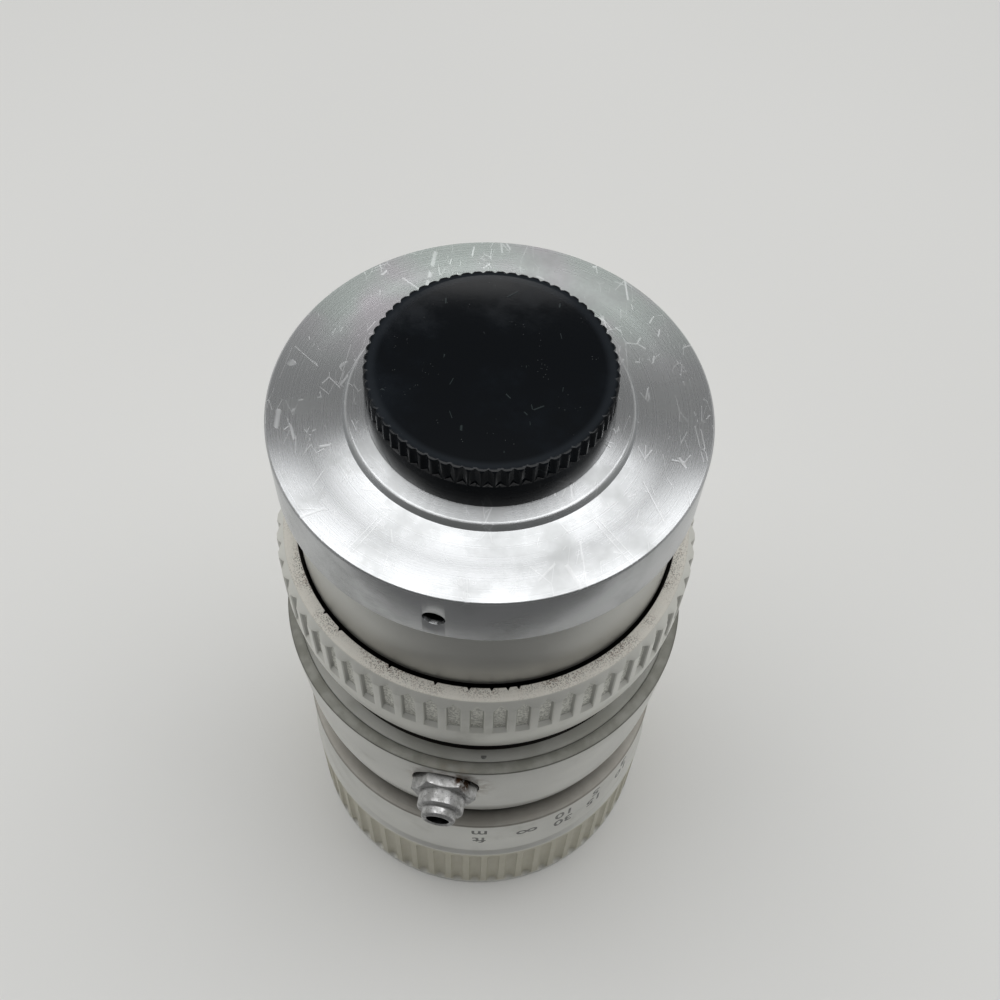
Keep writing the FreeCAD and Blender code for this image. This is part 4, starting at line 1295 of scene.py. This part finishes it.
@dataclass
class ApertureRing:
    """Slotted ring with a chamfered crest, a foot that draws in and a nicked top edge."""

    bore: float = 27.45
    crest_radius: float = 30.9
    top_radius: float = 29.8
    lip_radius: float = 27.9
    lip_depth: float = 2.0
    top_fall: float = 0.3
    chamfer_height: float = 1.05
    crest_length: float = 6.45
    foot_radius: float = 28.1
    foot_sag: float = 0.70
    slots: int = 60
    slot_width: float = 2.15
    slot_floor: float = 1.55
    slot_depth: float = 0.7
    slot_length: float = 8.9
    slot_runout: float = 0.9
    slot_shoulder_drop: float = 1.25
    slot_point: float = 0.5
    slot_phase: float = -0.8
    nick_turns: tuple[float, ...] = (-52.0, -45.0, -26.5, -12.7, -3.3, 3.0, 7.5, 10.5)
    nick_width: float = 0.9
    nick_depth: float = 0.5

    def outline(self, low: float, high: float) -> Outline:
        """Section of the ring.

        Args:
            low: height of the lower face.
            high: height of the upper face.

        Returns:
            The section as (radius, height) pairs.
        """
        crest_high = high - self.top_fall - self.chamfer_height
        crest_low = crest_high - self.crest_length
        foot, crest = (self.foot_radius, low), (self.crest_radius, crest_low)
        return soften([
            (self.bore, low), foot, *bow(foot, crest, self.foot_sag), crest,
            (self.crest_radius, crest_high), (self.top_radius, high - self.top_fall), (self.lip_radius, high),
            (self.lip_radius, high - self.lip_depth), (self.bore, high - self.lip_depth),
        ], 0.10)

    def slot_cutter(self, high: float) -> Piece:
        """A flat-floored cutter with sloped sides, a pointed top and a run-out at its foot.

        Args:
            high: height of the ring's top.

        Returns:
            The cutter at the -Y side.
        """
        floor = self.crest_radius - self.slot_depth
        shoulder = high - self.slot_shoulder_drop
        low = high - self.slot_length
        over = 2 * self.slot_depth
        cutter = rod("slot_cutter", self.slot_floor, floor, floor + over, sides=5)
        slope = (self.slot_width - self.slot_floor) / 2 / self.slot_depth
        for vertex in cutter.data.vertices:
            x, y, z = vertex.co / MM
            out = z - floor
            half = self.slot_floor / 2 + slope * out
            if y > 1.2 * self.slot_floor / 2:
                x, y = 0.0, shoulder + self.slot_point
            elif y > 0:
                x, y = math.copysign(half, x), shoulder
            else:
                x, y = math.copysign(half, x), low + self.slot_runout * (1 - out / self.slot_depth)
            vertex.co = Vector((x, y, z)) * MM
        turn(cutter, 90, "X")
        tidy_mesh(cutter)
        return cutter

    def nick_cutter(self, high: float) -> Piece:
        """V-shaped cutters for the nicks in the top edge, joined into one mesh.

        Args:
            high: height of the ring's top.

        Returns:
            The joined cutters.
        """
        settle()
        parts = []
        for degrees in self.nick_turns:
            wedge = rod("nick", self.nick_width, high - self.nick_depth - 0.4, high + 1, sides=3)
            turn(wedge, 180)
            shift(wedge, 0, -self.lip_radius - self.nick_depth + self.nick_width, 0)
            turn(wedge, degrees)
            parts.append(wedge)
        settle()
        for part in parts:
            part.select_set(True)
        bpy.context.view_layer.objects.active = parts[0]
        bpy.ops.object.join()
        return parts[0]

    def build(self, satin: Material) -> None:
        """Model the ring, cut its slots and nicks.

        Args:
            satin: the dusty satin finish.
        """
        low, high = span("aperture_ring")
        ring = lathe("aperture_ring_body", self.outline(low, high), 360)
        cutter = self.slot_cutter(high)
        ring_of(cutter, self.slots, self.slot_phase)
        cut(ring, cutter)
        cut(ring, self.nick_cutter(high))
        ease_edges(ring, 0.09, 32)
        finish(ring, Body.APERTURE, satin, ["aperture_ring"])


@dataclass
class IndexRing:
    """Fixed ring between the aperture ring and the zoom ring, with its black dot."""

    bore: float = 27.4
    radius: float = 30.03
    fall: float = 0.5
    collar_radius: float = 27.85
    collar_height: float = 1.2
    dot_radius: float = 0.42
    dot_place: tuple[float, float] = (29.2, 1.5)

    def build(self, satin: Material, paint: Material) -> None:
        """Model the ring and its dot.

        Args:
            satin: the satin finish.
            paint: the dark fill of the dot.
        """
        low, high = span("index_ring")
        top = high - self.collar_height
        ring = lathe("index_ring_body", soften([
            (self.bore, low), (self.radius, low), (self.radius, top - self.fall), (self.collar_radius, top),
            (self.collar_radius, high), (self.bore, high),
        ], 0.05))
        finish(ring, Body.ROOT, satin, ["index_ring"])
        reach, degrees = self.dot_place
        height = top - self.fall * (reach - self.collar_radius) / (self.radius - self.collar_radius)
        dot = rod("index_dot", self.dot_radius, height - 0.3, height + 0.03, 24)
        shift(dot, 0, -reach, 0)
        turn(dot, degrees)
        ease_edges(dot, 0.02, 40, 1)
        finish(dot, Body.ROOT, paint)


@dataclass
class ZoomRing:
    """Plain tapering ring with a rounded foot and the spot face of the lever socket."""

    bore: float = 27.45
    counterbore: float = 30.06
    top_radius: float = 31.87
    edge: float = 0.14
    taper: float = 0.77
    taper_length: float = 13.8
    foot_radius: float = 28.3
    foot_sag: float = 0.52
    shelf_drop: float = 3.0
    spot_radius: float = 5.3
    spot_depth: float = 1.2
    lever_height: float = 19.8
    lever_turn: float = -9.2

    def floor(self) -> float:
        """Distance of the spot face from the optical axis."""
        return self.top_radius - self.taper / 2 - self.spot_depth

    def spot_point(self, out: float, aside: float) -> tuple[float, float]:
        """X and Y of a point at a distance out from the axis and aside from the lever's middle."""
        angle = math.radians(self.lever_turn)
        sine, cosine = math.sin(angle), math.cos(angle)
        return out * sine + aside * cosine, -out * cosine + aside * sine

    def build(self, satin: Material) -> None:
        """Model the ring and mill its spot face.

        Args:
            satin: the satin finish.
        """
        low, high = span("zoom_ring")
        top = high - 0.3
        shelf = high - self.shelf_drop
        foot, side = (self.foot_radius, low), (self.top_radius - self.taper, top - self.taper_length)
        ring = lathe("zoom_ring_body", soften([
            (self.bore, low), foot, *bow(foot, side, self.foot_sag), side,
            (self.top_radius, top - self.edge), (self.top_radius - self.edge, top),
            (self.counterbore, high), (self.counterbore, shelf), (self.bore, shelf),
        ], 0.10), 360)
        mill = rod("spot_mill", self.spot_radius, self.floor(), self.floor() + 4, 64)
        aim_out(mill, low + self.lever_height, self.lever_turn)
        cut(ring, mill)
        ease_edges(ring, 0.08, 38)
        finish(ring, Body.ZOOM, satin, ["zoom_ring"])


@dataclass
class LeverSocket:
    """Hexagon with two round steps and a threaded hole, standing on the zoom ring's spot face."""

    across_flats: float = 8.8
    hex_height: float = 3.1
    step_radius: float = 3.6
    step_height: float = 2.4
    tip_radius: float = 2.65
    tip_height: float = 1.5
    hole_radius: float = 1.75
    hole_depth: float = 5.0
    stud_radius: float = 1.4
    stud_length: float = 6.0

    def build(self, ring: ZoomRing, worn: Material) -> None:
        """Model the socket and stand it on the ring.

        Args:
            ring: the zoom ring, for the place of the spot face.
            worn: the worn steel.
        """
        reach = self.across_flats / 2 / math.cos(math.radians(30))
        hexagon = rod("zoom_lever_hexagon", reach, 0, self.hex_height, 6)
        turn(hexagon, 30)
        crown = lathe("hexagon_crown", [
            (0, -1), (self.across_flats / 2 + 1.4, -1), (self.across_flats / 2 + 1.4, self.hex_height - 0.85),
            (self.across_flats / 2 - 0.1, self.hex_height), (0, self.hex_height),
        ], FINE_STEPS)
        cut(hexagon, crown, "INTERSECT")
        ease_edges(hexagon, 0.14, 30)
        step_face = self.hex_height + self.step_height
        tip_face = step_face + self.tip_height
        steps = lathe("zoom_lever_steps", soften([
            (0, -self.stud_length), (self.stud_radius, -self.stud_length), (self.stud_radius, 0.2),
            (self.step_radius, 0.2), (self.step_radius, step_face - 0.35),
            (self.step_radius - 0.3, step_face),
            (self.tip_radius + 0.12, step_face), (self.tip_radius, step_face + 0.15),
            (self.tip_radius, tip_face - 0.35), (self.tip_radius - 0.35, tip_face),
            (self.hole_radius + 0.25, tip_face), (self.hole_radius, tip_face - 0.25),
            (self.hole_radius, tip_face - self.hole_depth + 0.8), (0, tip_face - self.hole_depth),
        ], 0.09), FINE_STEPS)
        low, _ = span("zoom_ring")
        for piece in (hexagon, steps):
            shift(piece, 0, 0, ring.floor())
            aim_out(piece, low + ring.lever_height, ring.lever_turn)
            finish(piece, Body.ZOOM, worn, ["zoom_lever_socket"])


@dataclass
class FocusRing:
    """Front ring with a fluted grip, a plain scale band and its distance figures."""

    grip_radius: float = 31.6
    grip_length: float = 18.5
    scale_radius: float = 31.03
    step_height: float = 0.9
    front_chamfer: float = 0.35
    filter_radius: float = 27.5
    thread_length: float = 4.0
    thread_pitch: float = 0.75
    chamber_radius: float = 28.73
    bore: float = 27.45
    bore_start: float = 16.0
    flutes: int = 60
    flute_radius: float = 1.25
    flute_depth: float = 0.75
    flute_margin: float = 1.7
    figure_size: float = 2.6
    fill_depth: float = 0.03
    metre_row: float = 29.4
    feet_row: float = 25.6
    figures: tuple[tuple[float, str, str], ...] = (
        (1.0, "m", "ft"), (16.5, "∞", ""), (29.5, "10", "30"), (42.0, "5", "15"), (56.0, "3", "10"),
        (76.0, "2", "7"), (104.0, "1.5", "5"), (140.0, "1.2", "4"),
    )

    def outline(self, high: float) -> Outline:
        """Section of the ring, with the filter thread as ridges.

        Args:
            high: height of the upper face.

        Returns:
            The section as (radius, height) pairs.
        """
        points: Outline = [
            (self.grip_radius - self.front_chamfer, 0), (self.grip_radius, self.front_chamfer),
            (self.grip_radius, self.grip_length), (self.scale_radius, self.grip_length + self.step_height),
            (self.scale_radius, high - 0.2), (self.scale_radius - 0.2, high), (self.bore, high),
            (self.bore, self.bore_start), (self.chamber_radius, self.bore_start),
            (self.chamber_radius, self.thread_length + 0.6), (self.filter_radius, self.thread_length),
        ]
        height = self.thread_length - 0.3
        while height > self.thread_pitch:
            points += [(self.filter_radius, height), (self.filter_radius + 0.35, height - 0.37)]
            height -= self.thread_pitch
        points += [(self.filter_radius, 0.3), (self.filter_radius + 0.1, 0)]
        return soften(points, 0.10)

    def flute_cutter(self) -> Piece:
        """A round cutter with a long cone at each end, at the -Y side.

        Returns:
            The cutter.
        """
        low = self.flute_margin
        high = self.grip_length - self.flute_margin
        cutter = rod("flute_cutter", self.flute_radius, low, high, 20)
        pick(cutter)
        for level, way in ((high, 1), (low, -1)):
            bpy.ops.object.mode_set(mode="EDIT")
            bpy.ops.mesh.select_all(action="DESELECT")
            settle()
            for polygon in cutter.data.polygons:
                polygon.select = polygon.normal.z * way > 0.9
            pick(cutter)
            bpy.ops.object.mode_set(mode="EDIT")
            rise = way * self.flute_radius * MM
            bpy.ops.mesh.extrude_region_move(TRANSFORM_OT_translate={"value": (0, 0, rise)})
            bpy.ops.transform.resize(value=(0.1, 0.1, 1), center_override=(0, 0, level * MM))
            settle()
        shift(cutter, 0, -(self.grip_radius - self.flute_depth + self.flute_radius), 0)
        return cutter

    def engrave(self, text: str, row: float, degrees: float, paint: Material, index: int) -> None:
        """One figure on the scale band; the figures read with the front of the lens up.

        Args:
            text: the figure.
            row: height of the figure's middle.
            degrees: turn from the -Y side.
            paint: the dark fill.
            index: number that keeps the piece names apart.
        """
        settle()
        bpy.ops.object.text_add()
        figure = bpy.context.object
        figure.name = f"scale_figure_{index:02d}"
        figure.data.body = text
        figure.data.size = self.figure_size * MM * (1.7 if text == "∞" else 1.5)
        figure.data.align_x = "CENTER"
        figure.data.align_y = "CENTER"
        figure.data.offset = 0.00006
        figure.data.resolution_u = 3
        bpy.ops.object.convert(target="MESH")
        turn(figure, 180)
        turn(figure, 90, "X")
        reach = self.scale_radius + self.fill_depth / 2
        edit_all(figure)
        bpy.ops.mesh.remove_doubles(threshold=1e-7)
        bpy.ops.mesh.dissolve_limited(angle_limit=0.02)
        bpy.ops.mesh.quads_convert_to_tris()
        settle()
        shift(figure, 0, 0, row)
        for vertex in figure.data.vertices:
            angle = vertex.co.x / (reach * MM)
            vertex.co = Vector((reach * MM * math.sin(angle), -reach * MM * math.cos(angle), vertex.co.z))
        turn(figure, degrees)
        modify(figure, "SOLIDIFY", thickness=self.fill_depth * MM, offset=-1)
        tidy_mesh(figure, 0.0001)
        finish(figure, Body.FOCUS, paint)

    def build(self, satin: Material, paint: Material) -> None:
        """Model the ring, cut its flutes and engrave its scale.

        Args:
            satin: the yellowed satin finish.
            paint: the dark fill of the figures.
        """
        _, high = span("focus_ring")
        ring = lathe("focus_ring_body", self.outline(high), 360)
        cutter = self.flute_cutter()
        ring_of(cutter, self.flutes)
        cut(ring, cutter)
        ease_edges(ring, 0.07, 30)
        finish(ring, Body.FOCUS, satin, ["focus_ring"])
        index = 0
        for degrees, metres, feet in self.figures:
            middle = (self.metre_row + self.feet_row) / 2
            rows = ((metres, self.metre_row), (feet, self.feet_row)) if feet else ((metres, middle),)
            for text, row in rows:
                self.engrave(text, row, degrees, paint, index)
                index += 1


@dataclass
class FrontOptics:
    """Front lens and the plain keeper ring that holds it."""

    lens_radius: float = 23.4
    front_sag: float = 1.8
    rear_sag: float = 0.8
    keeper_bore: float = 21.8

    def curve(self, points: Outline, edge: float, sag: float) -> Outline:
        """Points of a lens surface that stands out by sag from its edge height on the axis."""
        return [(r, edge + sag * (1 - (r / self.lens_radius) ** 2)) for r, _ in points]

    def build(self, glass: Material, black: Material) -> None:
        """Model the lens and its keeper.

        Args:
            glass: the coated glass.
            black: the black anodised finish.
        """
        low, high = span("front_lens")
        edge_low, edge_high = low + self.front_sag, high - self.rear_sag
        lower = self.curve(bow((0, low), (self.lens_radius, edge_low), 0, 24), edge_low, -self.front_sag)
        upper = self.curve(bow((self.lens_radius, edge_high), (0, high), 0, 24), edge_high, self.rear_sag)
        lens = lathe("front_lens_glass", [
            (0, low), *lower, (self.lens_radius, edge_low), (self.lens_radius, edge_high), *upper, (0, high),
        ], 160)
        finish(lens, Body.FRONT, glass, ["front_lens"], math.radians(40))
        low, high = span("front_keeper_ring")
        keeper = lathe("front_keeper_body", soften([
            (self.keeper_bore + 0.5, low), (self.lens_radius, low),
            (self.lens_radius, high), (self.keeper_bore, high),
        ], 0.08))
        finish(keeper, Body.FRONT, black, ["front_keeper_ring"])


@dataclass
class InnerParts:
    """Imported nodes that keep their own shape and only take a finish."""

    finishes: dict[Slot, Material] = field(default_factory=dict)

    def dress(self) -> None:
        """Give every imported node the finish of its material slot."""
        slots = {part["node"]: part["material_slot"] for part in frame["record"]["subparts"]}
        for name, node in frame["nodes"].items():
            material = self.finishes[Slot(slots[name])]
            if not node.material_slots:
                node.data.materials.append(material)
            for holder in node.material_slots:
                holder.material = material


# Studio


@dataclass
class Studio:
    """Pale floor, soft light and the camera of the photograph."""

    floor_size: float = 4000.0
    table_colour: Colour = (0.765, 0.765, 0.75, 1)
    table_light: Colour = (0.80, 0.80, 0.785, 1)
    camera_place: Point = (0.0, -93.781, 234.509)
    camera_forward: Point = (0.01050555, 0.53735733, -0.84328924)
    camera_right: Point = (0.99937199, 0.02289915, 0.0270417)
    focal_pixels: float = 1204.0
    frame_pixels: float = 1000.0
    sensor: float = 36.0
    front_level: float = 0.20
    rear_level: float = 0.72
    roof_share: float = 0.32
    lamp_radiance: float = 2.38
    lamp_place: Point = (0.0, 90.0, 900.0)
    lamp_size: tuple[float, float] = (1300.0, 700.0)
    lamp_aim: Point = (0.0, 0.0, 60.0)
    card_near: float = -62.0
    card_size: tuple[float, float] = (560.0, 620.0)

    def camera(self) -> None:
        """Place the camera as the photograph was taken."""
        data = bpy.data.cameras.new("studio_camera")
        data.sensor_width = self.sensor
        data.lens = self.sensor * self.focal_pixels / self.frame_pixels
        data.clip_start = 0.01
        camera = bpy.data.objects.new("studio_camera", data)
        forward = Vector(self.camera_forward).normalized()
        right = Vector(self.camera_right).normalized()
        up = right.cross(forward).normalized()
        right = forward.cross(up).normalized()
        turned = Matrix((right, up, -forward)).transposed().to_4x4()
        camera.matrix_world = Matrix.Translation(Vector(self.camera_place) * MM) @ turned
        bpy.context.scene.collection.objects.link(camera)
        bpy.context.scene.camera = camera

    def floor(self) -> None:
        """A wide pale floor that keeps the lens's shadow."""
        settle()
        bpy.ops.mesh.primitive_plane_add(size=self.floor_size * MM, location=(0, 0, 0))
        floor = bpy.context.object
        floor.name = "studio_floor"
        material, sheet, shader = Finish("pale table", self.table_colour, 0.75, 0.0).start()
        uneven = sheet.remap(sheet.noise(sheet.place(), 3.0, 2.0), 0.3, 0.7)
        sheet.feed(sheet.mix(uneven, self.table_colour, self.table_light), shader.inputs["Base Color"])
        plain(shader, Specular_IOR_Level=0.0)
        floor.data.materials.append(material)

    def reflection_card(self) -> None:
        """A dark card before the lens, seen only in reflections, that stands in for the darker viewer side of
        the room and takes the floor's light off the lens's front.
        """
        width, depth = self.card_size
        settle()
        bpy.ops.mesh.primitive_plane_add(size=1.0, location=(0, 0, 0))
        reflection_card = bpy.context.object
        reflection_card.name = "studio_reflection_card"
        reflection_card.scale = (width * MM, depth * MM, 1.0)
        apply_place(reflection_card)
        shift(reflection_card, 0, self.card_near - depth / 2, 0.5)
        reflection_card.data.materials.append(Finish("dark reflection card", grey(0.20), 0.9, 0.0).start()[0])
        # Stand-in for shade: the card shows only in glossy reflections, in place of the darker viewer side of
        # the room.
        reflection_card.visible_camera = False
        reflection_card.visible_diffuse = False
        reflection_card.visible_shadow = False

    def sky(self) -> None:
        """Soft light from all round, weaker from the side where the viewer stands."""
        world = bpy.data.worlds.new("soft room")
        world.use_nodes = True
        bpy.context.scene.world = world
        sheet = Sheet(world.node_tree)
        background = world.node_tree.nodes["Background"]
        way = sheet.node("ShaderNodeTexCoord").outputs["Generated"]
        _, y, z = sheet.split(way)
        rear = sheet.remap(y, -0.8, 0.3)
        level = sheet.remap(rear, 0.0, 1.0, self.front_level, self.rear_level, False)
        level = sheet.times(level, sheet.remap(z, 0.15, 0.8, 1.0, self.roof_share))
        colour = sheet.node("ShaderNodeCombineXYZ")
        for socket, share in zip(colour.inputs, (1.0, 1.0, 0.985)):
            sheet.feed(sheet.times(level, share), socket)
        sheet.feed(colour.outputs[0], background.inputs["Color"])
        background.inputs["Strength"].default_value = 1.0

    def lamp(self) -> None:
        """One wide soft lamp overhead that looks at the middle of the lens."""
        data = bpy.data.lights.new("overhead softbox", "AREA")
        data.shape = "RECTANGLE"
        data.size, data.size_y = (length * MM for length in self.lamp_size)
        data.energy = self.lamp_radiance * math.pi * data.size * data.size_y
        lamp = bpy.data.objects.new("overhead softbox", data)
        lamp.location = Vector(self.lamp_place) * MM
        aim = Vector(self.lamp_aim) * MM - lamp.location
        lamp.rotation_euler = aim.to_track_quat("-Z", "Y").to_euler()
        bpy.context.scene.collection.objects.link(lamp)

    def build(self) -> None:
        """Set up the floor, the light and the camera."""
        self.floor()
        self.reflection_card()
        self.sky()
        self.lamp()
        self.camera()
        bpy.context.scene.view_settings.view_transform = "Standard"


def make_finishes() -> dict[str, Material]:
    """Build every finish once.

    Returns:
        Materials by the name of the place where they are used.
    """
    zoom = ZoomRing()
    low, zoom_high = span("zoom_ring")
    lever = low + zoom.lever_height
    stain_x, stain_y = zoom.spot_point(zoom.floor() + 1, 0)
    stain = (stain_x + 0.8, stain_y, lever + 0.8, 6.2)
    rust = (*zoom.spot_point(zoom.floor() + 0.9, 2.9), lever + 3.6, 2.6)
    satin = grey(0.65, 0.022)
    _, aperture_high = span("aperture_ring")
    return {
        "cap": CapPlastic("moulded black plastic", (0.0014, 0.0024, 0.0038, 1), 0.09, 0.0).build(),
        "bare": BareAluminium("bare turned aluminium", (0.51, 0.52, 0.53, 1), 0.26).build(),
        "matte": SatinAluminium(
            "matte barrel", grey(0.53, 0.025), 0.36, 0.9, grime_cover=0.25,
            shaded_crevices=((27.0, 27.4, aperture_high - 3, aperture_high + 0.12),)).build(),
        "aperture": SatinAluminium(
            "dusty satin ring", grey(0.76, 0.03), 0.44, 0.75, top_dust=(aperture_high, 27.9, 29.8),
            slots=(30.2, 30.9, aperture_high),
            shaded_crevices=((27.4, 27.93, aperture_high - 3, aperture_high - 0.12),
                      (27.4, 28.43, aperture_high - 1.2, aperture_high - 0.2))).build(),
        # Index ring: base colour darkened as painted shade under the aperture ring, together with dirt.
        "index": SatinAluminium(
            "satin index ring", grey(0.34, 0.035), 0.5, 0.7, grime_cover=0.6,
            shaded_crevices=((27.0, 28.2, zoom_high - 3, zoom_high + 4),)).build(),
        "zoom": SatinAluminium(
            "satin zoom ring", satin, 0.40, 0.85, stain=stain, recess_radius=zoom.floor(),
            # Painted shade with dirt on the top face under the aperture ring; painted shade darker towards
            # the foot.
            tint_and_shade_bands=((zoom_high - 0.5, zoom_high + 1, 0.12, grey(0.17, 0.06), 1.0),
                   (low - 1.0, low + 9.6, 3.2, grey(0.22, 0.06), 0.6))).build(),
        "focus": SatinAluminium(
            "yellowed satin ring", satin, 0.44, 0.7,
            tint_and_shade_bands=((1.0, 18.6, 0.8, (0.47, 0.44, 0.33, 1), 0.65),
                   # Dark brown top face: dirt with painted shade under the zoom ring.
                   (32.2, 40.0, 0.2, (0.17, 0.14, 0.10, 1), 0.55))).build(),
        "worn": WornSteel("worn lever socket", grey(0.55, 0.0), 0.34, rust=rust,
                          bore=(math.radians(zoom.lever_turn), lever, 1.8)).build(),
        "black": PlainMetal("black anodised", grey(0.018), 0.42, 0.4).build(),
        "screw": PlainMetal("blackened screws", grey(0.05), 0.4, 0.9).build(),
        "blade": PlainMetal("blued iris leaf", (0.035, 0.036, 0.045, 1), 0.35, 0.8).build(),
        "brass": PlainMetal("turned brass", (0.72, 0.53, 0.24, 1), 0.28).build(),
        "glass": CoatedGlass("coated lens glass", (0.96, 0.98, 0.99, 1), 0.02, 0.0).build(),
        "paint": FilledMark("dark engraved fill", grey(0.14, 0.02), 0.55, 0.0).build(),
    }


def main() -> None:
    """Build the lens, piece by piece, then the studio."""
    logging.basicConfig(level=logging.INFO, format="%(name)s: %(message)s")
    finishes = make_finishes()
    InnerParts({
        Slot.CAP: finishes["cap"], Slot.BARE: finishes["bare"], Slot.MATTE: finishes["matte"],
        Slot.SATIN: finishes["zoom"], Slot.BLACK: finishes["black"], Slot.SCREW: finishes["screw"],
        Slot.WORN: finishes["worn"], Slot.BLADE: finishes["blade"], Slot.BRASS: finishes["brass"],
        Slot.GLASS: finishes["glass"],
    }).dress()
    RearCap().build(finishes["cap"])
    MountAdapter().build(finishes["bare"])
    RearBarrel().build(finishes["matte"])
    ApertureRing().build(finishes["aperture"])
    IndexRing().build(finishes["index"], finishes["paint"])
    zoom = ZoomRing()
    zoom.build(finishes["zoom"])
    LeverSocket().build(zoom, finishes["worn"])
    FocusRing().build(finishes["focus"], finishes["paint"])
    FrontOptics().build(finishes["glass"], finishes["black"])
    Studio().build()
    settle()


if __name__ == "__main__":
    main()
